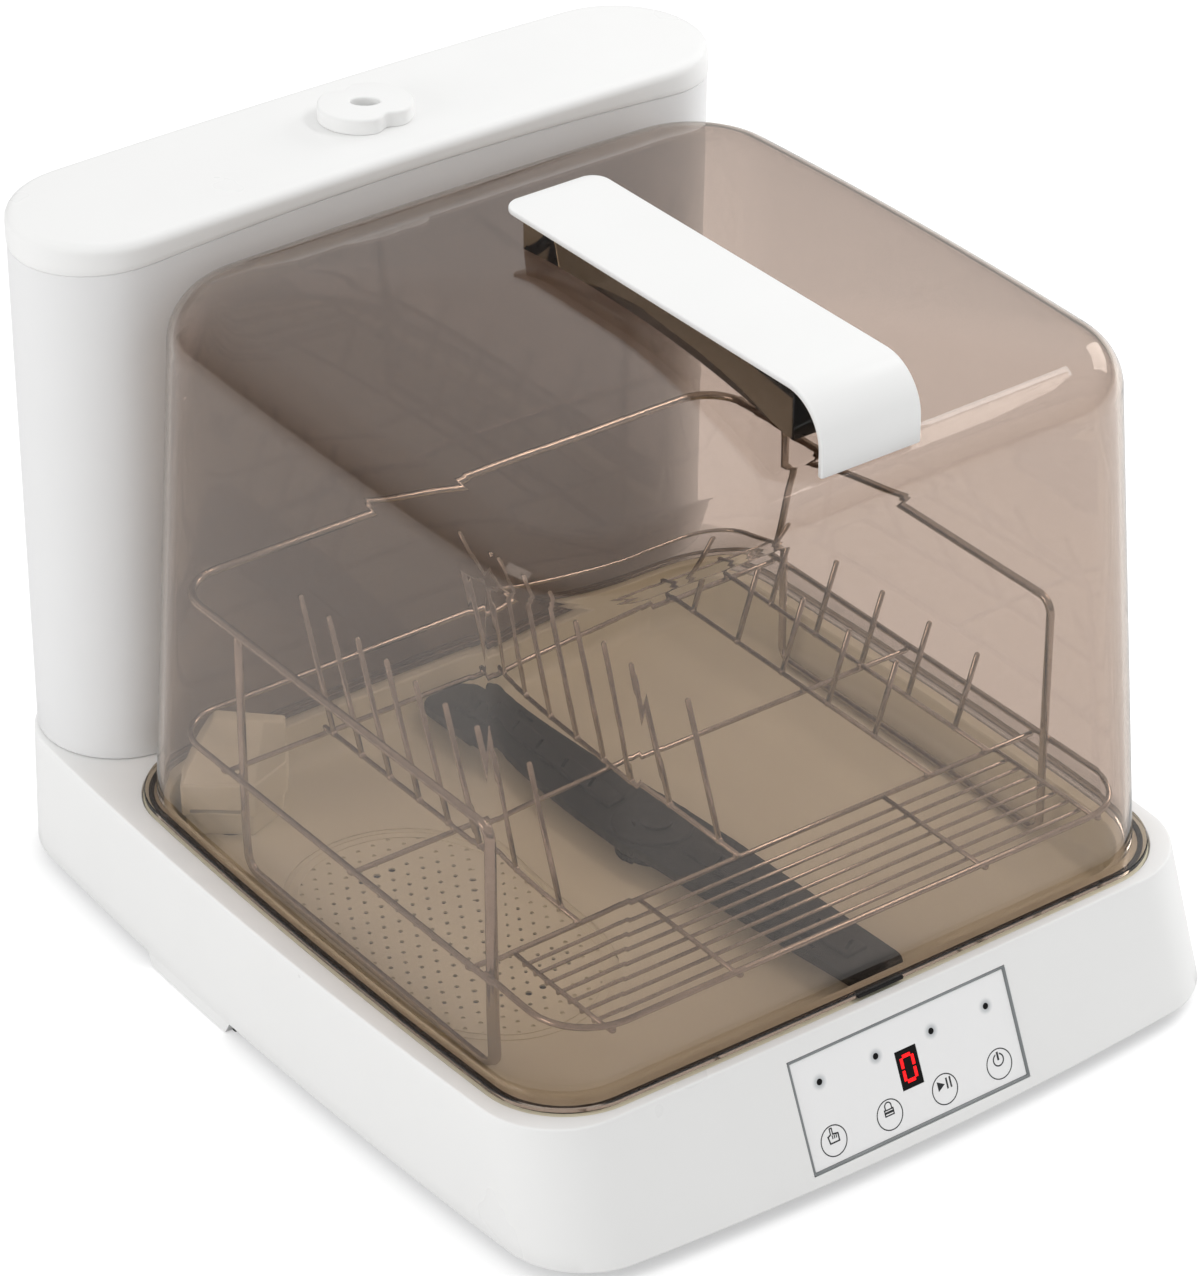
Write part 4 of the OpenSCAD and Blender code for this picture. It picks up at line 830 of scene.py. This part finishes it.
def makeMarks():
    z, ink, lift = panel["film"], panel["ink"], panel["markY"] + panel["iconLift"]

    def disc(x, y, radius, hole=0.0):
        piece = addCylinder("mark", (x, y, z + ink / 2), radius, ink, vertices=48)
        if hole:
            cutWith(piece, addCylinder("hole", (x, y, z), hole, 3, vertices=48))
        return piece

    def stroke(x, y, width, height, turn):
        piece = addBox("mark", (-width / 2, -height / 2, z), (width / 2, height / 2, z + ink))
        return placeAt(piece, x, y, turn=turn)

    def shackle(x):
        piece = disc(x, lift + 1.6, 1.75, 1.25)
        cutWith(piece, addBox("below", (x - 3, lift - 3, -3), (x + 3, lift + 1.6, 3)))
        return piece

    def startMark(x):
        # a disc cut to a triangle
        piece = disc(x - 1.9, lift, 2.3)
        for turn in (60, 180, 300):
            cutWith(piece, placeAt(addBox("blade", (1.15, -6, -3), (6, 6, 3)), x - 1.9, lift, turn=turn))
        return piece

    def powerArc(x):
        piece = disc(x, lift - 0.2, 2.7, 2.15)
        cutWith(piece, addBox("gap", (x - 0.9, lift + 0.5, -3), (x + 0.9, lift + 4, 3)))
        return piece
    marks = [disc(x, panel["markY"], panel["markRadius"], panel["markRadius"] - panel["markLine"])
             for x in panelFrom]
    grow = Matrix.Diagonal((panel["iconScale"], panel["iconScale"], 1, 1))
    for x, strokes, shape in zip(panelFrom, iconStrokes, (None, shackle, startMark, powerArc)):
        icon = [stroke(x + dx, lift + dy, width, height, turn) for dx, dy, width, height, turn in strokes]
        if shape:
            icon.append(shape(x))
        # each icon grows about its own middle
        middle = Matrix.Translation(Vector((x, lift, 0)) * mm)
        for piece in icon:
            piece.data.transform(middle @ grow @ middle.inverted())
        marks += icon
    return onPanel(joinPieces("touchMarks", marks))


# the darker grey is the painted shade round each lamp
filmWhite = printedFilmWithShade("panelFilmWithPaintedShade", "F8F8F8", "C9CCCE",
                        [panelPlace @ (Vector((x, panel["lampY"], panel["film"])) * mm) for x in panelFrom],
                        panel["shadeRingReach"] * mm)
finishPiece(makeTrim(), "base", silverPaintAndReflection, "silver_trim", "panel_frame")
finishPiece(makeFilm(), "base", filmWhite, "panel_white", "panel_face")
finishPiece(makeWindow(), "base", displayBlack, "display_black", "display")
finishPiece(onPanel(joinPieces("litDigit", digitBars())), "base", litRed, "lamp_red", "display_bars")
lampDots = [addCylinder("lampDot", (x, panel["lampY"], panel["film"] - 1), panel["lampRadius"], 2.1,
                        vertices=32, bevel=panel["lampEdge"]) for x in panelFrom]
finishPiece(onPanel(joinPieces("lampDots", lampDots)), "base", displayBlack, "display_black", "indicator_dots",
            smoothAt=40)
finishPiece(makeMarks(), "base", markInk, "mark_grey", "touch_marks")
print("panel made")


# wire work: a wire is a ring carried along its path

def bentPath(corners, radii):
    # through the corners, each turned with its own bend radius, mm
    path = [Vector(corners[0])]
    for radius, before, here, after in zip(radii, corners, corners[1:], corners[2:]):
        here = Vector(here)
        u, v = (Vector(before) - here).normalized(), (Vector(after) - here).normalized()
        half = u.angle(v) / 2
        centre = here + (u + v).normalized() * radius / math.sin(half)
        a = here + u * radius / math.tan(half) - centre
        b = here + v * radius / math.tan(half) - centre
        turn = a.angle(b)
        for step in range(9):
            t = step / 8
            path.append(centre + (a * math.sin((1 - t) * turn) + b * math.sin(t * turn)) / math.sin(turn))
    path.append(Vector(corners[-1]))
    return path


def sweepWire(name, path, diameter, side, closed=False, sides=14):
    # side is a first direction square to the path; open ends are domed
    radius = diameter / 2
    side = Vector(side)
    stations = []
    for index, place in enumerate(path):
        before = path[index - 1] if index or closed else place
        after = path[(index + 1) % len(path)] if index < len(path) - 1 or closed else place
        along = ((after - place).normalized() + (place - before).normalized()).normalized()
        side = (side - along * side.dot(along)).normalized()
        stations.append((place, along, side, 1.0))
    if not closed:
        (first, inward, firstSide, _), (last, outward, lastSide, _) = stations[0], stations[-1]
        dome = [math.radians(a) for a in (75, 45, 15)]
        start = [(first + inward * radius * (1 - math.sin(a)), inward, firstSide, math.cos(a)) for a in dome]
        end = [(last - outward * radius * (1 - math.sin(a)), outward, lastSide, math.cos(a))
               for a in reversed(dome)]
        stations = start + stations[1:-1] + end
    rings = []
    for place, along, side, scale in stations:
        other = along.cross(side)
        rings.append([tuple(place + (side * math.cos(a) + other * math.sin(a)) * radius * scale)
                      for a in (2 * math.pi * k / sides for k in range(sides))])
    return loft(name, rings, capStart=not closed, capEnd=not closed, closed=closed)


def straightWire(name, start, end, diameter):
    along = (Vector(end) - Vector(start)).normalized()
    return sweepWire(name, [Vector(start), Vector(end)], diameter, along.orthogonal(), sides=12)


def repeatAt(piece, places):
    # a copy of the piece at each place, instead of the piece itself
    copies = []
    for place in places:
        twin = piece.copy()
        twin.data = piece.data.copy()
        twin.data.transform(Matrix.Translation(Vector(place) * mm))
        bpy.context.collection.objects.link(twin)
        copies.append(twin)
    bpy.data.objects.remove(piece, do_unlink=True)
    return copies


def addBeads(places, radius):
    # small welds where wires cross
    deselectAll()
    bpy.ops.mesh.primitive_uv_sphere_add(segments=10, ring_count=6, radius=radius * mm)
    return repeatAt(bpy.context.object, places)


# dish rack

rack = {"x": 3.0, "legX": 164.3, "legFront": -128.0, "legRear": 76.0, "foot": 52.4, "legBend": 8.0,
        "rail": 186.0, "railRear": 133.0, "railBend": 24.0, "frameWire": 4.2, "loopX": 167.6, "loopFront": -192.0,
        "loopRear": 136.0, "loopZ": 106.0, "loopBends": (30.0, 25.0), "loopWire": 3.2, "crossZ": 103.3,
        "crossWire": 2.8, "grilleZ": 101.1, "grilleWire": 2.0, "grillePitch": 9.0, "grilleBars": 7, "tieZ": 103.0,
        "tieWire": 2.4, "carrierY": (91.0, -119.0), "carrierZ": 105.7, "carrierWire": 2.6, "tineWire": 3.0,
        "lastTine": -103.0}
rackCross = (88.0, -20.0, -116.0)
rackTies = (-145.0, -73.0, 73.0, 143.0)
# place of each row, its first tine, pitch and number of tines, and how far a tine leans and rises
rackRows = [(-108.0, 82.0, 24.4, 7, (0.0, 26.0, 67.0)), (-16.0, 82.0, 24.4, 7, (0.0, 26.0, 67.0)),
            (101.0, 70.0, 36.3, 5, (13.0, 0.0, 39.0)), (137.0, 52.0, 36.3, 5, (13.0, 0.0, 39.0))]


def makeRackFrame():
    x, front, rear, foot = rack["legX"], rack["legFront"], rack["legRear"], rack["foot"]
    rail, back, bend, far = rack["rail"], rack["railRear"], rack["legBend"], rack["railBend"]
    under = rail - rack["frameWire"] / 2 + 0.4
    corners = [(-x, rear, under), (-x, rear, foot), (-x, front, foot), (-x, front, rail), (-x, back, rail),
               (x, back, rail), (x, front, rail), (x, front, foot), (x, rear, foot), (x, rear, under)]
    path = bentPath(corners, (bend, bend, bend, far, far, bend, bend, bend))
    frameWire = sweepWire("rackFrame", path, rack["frameWire"], (1, 0, 0))
    side, near, away, z = rack["loopX"], rack["loopFront"], rack["loopRear"], rack["loopZ"]
    corners = [(0, near, z), (side, near, z), (side, away, z), (-side, away, z), (-side, near, z), (0, near, z)]
    path = bentPath(corners, [rack["loopBends"][i] for i in (0, 1, 1, 0)])
    loop = sweepWire("loop", path[:-1], rack["loopWire"], (0, 0, 1), closed=True)
    welds = addBeads([(side * (x + 1.9), y, z) for side in (-1, 1) for y in (front, rear)]
                     + [(side * x, rear, under - 1) for side in (-1, 1)], 2.3)
    return joinPieces("rackFrame", [frameWire, loop] + welds)


def makeRackGrille():
    hx, front, first, last = rack["loopX"], rack["loopFront"], rackTies[0] - 1.2, rackTies[-1] + 1.2
    rear, crossZ, barZ, tieZ = rackCross[-1], rack["crossZ"], rack["grilleZ"], rack["tieZ"]
    bars = [rack["grillePitch"] * (i + 1) for i in range(rack["grilleBars"])]
    parts = repeatAt(straightWire("cross", (-hx - 0.5, 0, crossZ), (hx + 0.5, 0, crossZ), rack["crossWire"]),
                     [(0, y, 0) for y in rackCross])
    parts += repeatAt(straightWire("bar", (first, rear, barZ), (last, rear, barZ), rack["grilleWire"]),
                      [(0, -y, 0) for y in bars])
    parts += repeatAt(straightWire("tie", (0, rear, tieZ), (0, front - 0.4, tieZ), rack["tieWire"]),
                      [(x, 0, 0) for x in rackTies])
    welds = [(side * hx, y, crossZ + 1.4) for side in (-1, 1) for y in rackCross]
    welds += [(x, front, tieZ + 1.0) for x in rackTies]
    small = [(x, rear - y, barZ + 0.9) for x in rackTies for y in bars]
    return joinPieces("rackGrille", parts + addBeads(welds, 1.8) + addBeads(small, 1.35))


def makeRackTines():
    parts, welds = [], []
    (start, end), z = rack["carrierY"], rack["carrierZ"]
    for x, first, pitch, count, lean in rackRows:
        parts.append(straightWire("carrier", (x, start, z), (x, end, z), rack["carrierWire"]))
        foot = Vector((x, 0, z))
        rows = [first - i * pitch for i in range(count)] + ([rack["lastTine"]] if lean[1] else [])
        parts += repeatAt(straightWire("tine", foot, foot + Vector(lean), rack["tineWire"]),
                          [(0, y, 0) for y in rows])
        welds += [(x, y, z + 0.3) for y in rows] + [(x, y, rack["crossZ"] + 1.3) for y in rackCross]
    return joinPieces("rackTines", parts + addBeads(welds, 1.9))


for make, stand in ((makeRackFrame, "rack_frame"), (makeRackGrille, "rack_grille"), (makeRackTines, "rack_tines")):
    finishPiece(placeAt(make(), rack["x"], 0), "rack", wireSteel, "steel", stand, smoothAt=50)
print("rack made")


# spray arm: two tapering wings on a hub, ribbed and slotted

spray = {"x": 10.0, "y": -24.0, "turn": 4.0, "reach": 164.0, "tipHalf": 16.0, "rootHalf": 21.0, "root": 35.0,
         "corner": 10.0, "rootBend": 60.0, "under": 57.5, "top": 63.5, "hub": 19.0, "hubFoot": 56.5,
         "hubTop": 65.5, "bore": 8.05, "rib": (6.5, 24.0, 144.0), "slots": 5, "slotFrom": 46.0, "slotPitch": 23.0,
         "slotHalf": (4.5, 1.0), "slotTurn": 25.0, "sideSlot": (12.0, 120.0), "sideSlotHalf": (1.0, 7.0)}


def wingOutline(inset):
    tip, root, reach = spray["tipHalf"] - inset, spray["rootHalf"] - inset, spray["reach"] - inset
    y, bend, wide = spray["root"], spray["corner"] - inset, spray["rootBend"]
    corners = [(0, -reach, 0), (tip, -reach, 0), (root, -y, 0), (root, y, 0), (tip, reach, 0),
               (-tip, reach, 0), (-root, y, 0), (-root, -y, 0), (-tip, -reach, 0), (0, -reach, 0)]
    return [(p.x, p.y) for p in bentPath(corners, (bend, wide, wide, bend, bend, wide, wide, bend))[:-1]]


def makeSprayArm():
    low, high = spray["under"], spray["top"]
    section = ((1.6, low), (0.5, low + 0.4), (0.0, low + 1.4), (0.0, high - 1.4), (0.5, high - 0.4), (1.6, high))
    piece = loft("sprayArm", [atHeight(wingOutline(inset), z) for inset, z in section], capStart=True, capEnd=True)
    half, near, far = spray["rib"]
    for side in (-1, 1):
        start, end = sorted((side * near, side * far))
        cutWith(piece, addBox("rib", (-half, start, high - 1), (half, end, high + 2), bevel=0.9), "UNION")
    cutWith(piece, addCylinder("hub", (0, 0, (spray["hubFoot"] + spray["hubTop"]) / 2), spray["hub"],
                               spray["hubTop"] - spray["hubFoot"], vertices=72, bevel=1.0), "UNION")
    (sx, sy), (hx, hy), (halfX, halfY) = spray["sideSlot"], spray["sideSlotHalf"], spray["slotHalf"]
    for side in (-1, 1):
        for i in range(spray["slots"]):
            slot = addBox("slot", (-halfX, -halfY, -2), (halfX, halfY, 6), bevel=0.6, segments=2)
            y = side * (spray["slotFrom"] + spray["slotPitch"] * i)
            cutWith(piece, placeAt(slot, 0, y, 62, spray["slotTurn"]))
        cutWith(piece, addBox("sideSlot", (side * sx - hx, side * sy - hy, 61),
                              (side * sx + hx, side * sy + hy, 68), bevel=0.6))
    cutWith(piece, addCylinder("bore", (0, 0, 60), spray["bore"], 30, vertices=48))
    return placeAt(piece, spray["x"], spray["y"], turn=spray["turn"])


finishPiece(makeSprayArm(), "spray_arm", darkPp, "dark_plastic", "spray_arm", smoothAt=35)
print("spray arm made")


# wash tub, the seal on its rim and the catch of the cover

tub = {"floor": 50.0, "wall": 2.5, "draft": 3.0, "round": 8.0, "flangeFoot": 71.0, "flangeTop": 73.0,
       "sump": (-112.0, -24.0), "sumpSeats": ((97.3, 60.3, 1.7), (70.0, 40.0, 10.0)),
       "outlet": (10.0, -24.0, 9.2), "airInlet": (-146.0, 116.0, 10.2)}
# the duct's corners, before it is turned and set in its place
duct = {"place": (-172.0, 119.0), "turn": -36.0, "clear": 3.6, "footTop": 70.0, "stepFoot": 63.2, "stepTop": 81.6,
        "foot": ((1.5, 3), (35, 3), (49, 24), (49, 40), (1.5, 40)),
        "step": ((0, 0), (37, 0), (51.5, 22), (51.5, 40), (0, 40)),
        "low": ((0.8, 1.2, 81), (36.6, 1.2, 81), (51, 22.5, 81), (51, 33, 81), (0.8, 33, 81)),
        "high": ((16, 25, 105.5), (40, 25, 103.5), (51, 26, 102), (51, 33, 102), (16, 33, 105.5)),
        "slotLow": (4, -2, 65.2), "slotHigh": (33, 5, 67.4)}
# the seal's section: inset from the cover's lip, and height
sealSection = ((2.3, 73.05), (2.3, 74.2), (2.7, 74.7), (3.6, 74.7), (4.4, 74.4), (4.8, 73.8), (4.8, 73.05))
catch = {"low": (-13, -210.0, 75.0), "high": (14, -205.8, 77.0), "edge": 0.6}


def makeTub():
    r, wall, draft, floor = tub["round"], tub["wall"], tub["draft"], tub["floor"]
    under, top = tub["flangeFoot"], tub["flangeTop"]
    rings = [atHeight(outline(tubRim, draft - wall + (r + wall) * (1 - math.sin(a))),
                      floor - wall + (r + wall) * (1 - math.cos(a))) for a in quarter(5)]
    rings += [atHeight(outline(shape, inset), z) for shape, inset, z in (
        (tubRim, -wall, under), (lipShape, -0.5, under), (lipShape, -0.5, top - 0.3), (lipShape, -0.2, top),
        (tubRim, -0.8, top), (tubRim, 0.0, top - 0.8))]
    rings += [atHeight(outline(tubRim, draft + r * (1 - math.cos(a))), floor + r * (1 - math.sin(a)))
              for a in quarter(5)]
    piece = loft("washTub", rings, capStart=True, capEnd=True)
    sx, sy = tub["sump"]
    for long, wide, depth in tub["sumpSeats"]:
        ring = [(y + sx, x + sy) for x, y in pill(long, wide, 0.0)]
        cutWith(piece, prism("sumpSeat", ring, floor - depth, floor + 3))
    for x, y, radius in (tub["outlet"], tub["airInlet"]):
        cutWith(piece, addCylinder("hole", (x, y, floor), radius, 20, vertices=48))
    return piece


def makeAirDuct():
    # a stepped hood in the rear left corner, its outlet slot under the upper step
    def block(low, high, bevel):
        solid = loft("airDuct", [low, high], capStart=True, capEnd=True)
        roundEdges(solid, bevel)
        return solid
    step, foot = duct["step"], duct["foot"]
    piece = block(atHeight(step, duct["stepFoot"]), atHeight(step, duct["stepTop"]), 1.4)
    cutWith(piece, block(atHeight(foot, tub["floor"]), atHeight(foot, duct["footTop"]), 1.0), "UNION")
    cutWith(piece, block(duct["low"], duct["high"], 1.2), "UNION")
    cutWith(piece, addBox("outlet", duct["slotLow"], duct["slotHigh"]))
    placeAt(piece, *duct["place"], turn=duct["turn"])
    cutWith(piece, prism("room", outline(tubRim, duct["clear"]), tub["floor"] - 1, 130), "INTERSECT")
    return piece


def makeRimSeal():
    return loft("rimSeal", [atHeight(outline(lipShape, inset), z) for inset, z in sealSection], closed=True)


finishPiece(makeTub(), "base", tubPp, "tub_plastic", "tub", smoothAt=30)
finishPiece(makeAirDuct(), "base", tubPp, "tub_plastic", "air_duct", smoothAt=35)
finishPiece(makeRimSeal(), "base", blackRubber, "black_rubber", "rim_gasket", smoothAt=60)
finishPiece(addBox("coverCatch", catch["low"], catch["high"], bevel=catch["edge"]),
            "cover", blackRubber, "black_rubber", "dome_catch")
print("tub made")


# camera, floor and light

# metres and degrees from here on, as the camera and the lamps take them
view = {"sensor": 36, "lens": 152.10, "farClip": 20, "place": (-1.2436, -1.6682, 1.4452), "tilt": 58.34,
        "turn": -36.576}
# brightness of the studio for each kind of ray, and of the floor
studio = {"front": 0.67, "rear": 0.87, "wall": 0.32, "ceiling": 0.96, "ceilingFrom": 0.6, "behindCover": 0.8,
          "backdrop": 1.0, "floorSize": 8, "floorTone": 0.78, "floorGlow": 0.4}
# place, target, size, power in watts, and whether the glossy surfaces mirror it: only the strip shows on the
# cover's rounded edge
lamps = {
    "topSoftbox": ((1.07, -0.5, 1.7), (1.07, -0.5, 0), (0.3, 0.9), 6.6, False),
    "topStrip": ((1.14, -0.02, 1.7), (1.14, -0.02, 0), (0.28, 0.55), 1.5, True),
    "leftSoftbox": ((-2.0, 0.15, 0.9), (0, 0, 0.2), (0.9, 0.7), 8.5, False),
    "rightSoftbox": ((2.0, 0.3, 0.9), (0, 0, 0.2), (0.9, 0.7), 11.0, False),
}


def addCamera():
    data = bpy.data.cameras.new("camera")
    data.sensor_fit = "HORIZONTAL"
    data.sensor_width = view["sensor"]
    data.lens = view["lens"]
    data.clip_end = view["farClip"]
    camera = bpy.data.objects.new("camera", data)
    bpy.context.collection.objects.link(camera)
    camera.location = view["place"]
    camera.rotation_euler = (math.radians(view["tilt"]), 0, math.radians(view["turn"]))
    bpy.context.scene.camera = camera


def addLamp(name, place, target, size, power, mirrored):
    data = bpy.data.lights.new(name, "AREA")
    data.shape = "RECTANGLE"
    data.size, data.size_y = size
    data.energy = power
    lamp = bpy.data.objects.new(name, data)
    bpy.context.collection.objects.link(lamp)
    lamp.location = place
    lamp.rotation_euler = (Vector(target) - Vector(place)).to_track_quat("-Z", "Y").to_euler()
    lamp.visible_glossy = mirrored


def addFloor():
    deselectAll()
    bpy.ops.mesh.primitive_plane_add(size=studio["floorSize"], location=(0, 0, 0))
    floor = bpy.context.object
    floor.name = "studioFloor"
    material, tree, output, _ = startMaterial("studioFloor")
    path = addNode(tree, "ShaderNodeLightPath")
    # it glows where it is seen, straight or through the cover
    seen = addNode(tree, "ShaderNodeMath", {"operation": "MAXIMUM"}, i0=(path, "Is Camera Ray"),
                   i1=(path, "Is Transmission Ray"))
    matt = addNode(tree, "ShaderNodeBsdfDiffuse", Color=[studio["floorTone"]] * 3 + [1])
    glow = addNode(tree, "ShaderNodeEmission", Strength=studio["floorGlow"])
    both = addNode(tree, "ShaderNodeAddShader", i0=(matt, 0), i1=(glow, 0))
    mix = addNode(tree, "ShaderNodeMixShader", Fac=(seen, 0), i1=(matt, 0), i2=(both, 0))
    floor.data.materials.append(endMaterial(material, tree, output, mix))


def addWorld():
    world = bpy.data.worlds.new("studio")
    bpy.context.scene.world = world
    world.use_nodes = True
    tree = world.node_tree
    tree.nodes.clear()
    coords = addNode(tree, "ShaderNodeTexCoord")
    axes = addNode(tree, "ShaderNodeSeparateXYZ", Vector=(coords, "Generated"))
    path = addNode(tree, "ShaderNodeLightPath")

    def between(value, low, high, start=0.0, end=1.0):
        # from low, where the value is at its start, to high, where it is at its end
        node = addNode(tree, "ShaderNodeMapRange", Value=value, From_Min=start, From_Max=end,
                       To_Min=low, To_Max=high)
        return node, "Result"
    # the studio is a little dimmer in front of the machine
    around = between((axes, "Y"), studio["front"], studio["rear"], -1.0, 0.0)
    # what the glossy surfaces mirror: a bright ceiling over darker walls
    ceiling = between((axes, "Z"), studio["wall"], studio["ceiling"], 0.0, studio["ceilingFrom"])
    mirrored = between((path, "Is Glossy Ray"), around, ceiling)
    # behind the cover, the wires mirror the ceiling and the walls too
    inside = between((path, "Glossy Depth"), studio["behindCover"], ceiling)
    through = between((path, "Is Transmission Ray"), mirrored, inside)
    # seen straight, the backdrop is plain
    level = between((path, "Is Camera Ray"), through, studio["backdrop"])
    sky = addNode(tree, "ShaderNodeBackground", Color=(1, 1, 1, 1), Strength=level)
    addNode(tree, "ShaderNodeOutputWorld", Surface=(sky, 0))


addCamera()
addFloor()
addWorld()
for lampName, settings in lamps.items():
    addLamp(lampName, *settings)
bpy.context.scene.view_settings.view_transform = "Standard"
print("camera and light set")


# finishes of the pieces kept from the frame

keptFinish = {
    "bottom_plate": greyPp, "feet": blackRubber, "base_screws": screwSteel, "filter_plate": tubPp, "sump": greyPp,
    "heater": wireSteel, "wash_pump": darkPp, "wash_rotor": greyPp, "spray_post": darkPp, "drain_pump": darkPp,
    "drain_rotor": greyPp, "blower": darkPp, "blower_wheel": greyPp, "hoses": blackRubber,
    "control_board": boardGreen, "power_board": boardGreen, "reed_switch": darkPp, "power_inlet": darkPp,
    "drain_spout": greyPp, "dock_socket": greyPp, "tank_gasket": blackRubber, "tank_valve": greyPp,
    "valve_seal": blackRubber, "handle_screws": screwSteel,
}
# how far the edges of some are rounded, mm
softened = {"filter_plate": 0.25, "feet": 0.8, "power_inlet": 0.5, "drain_spout": 0.4, "bottom_plate": 0.3,
            "dock_socket": 0.4, "base_screws": 0.2}
for nodeName, material in keptFinish.items():
    for slot in nodes[nodeName].material_slots:
        slot.material = material
for nodeName, width in softened.items():
    edge = nodes[nodeName].modifiers.new("softEdge", "BEVEL")
    edge.width, edge.segments, edge.limit_method = width * mm, 2, "ANGLE"
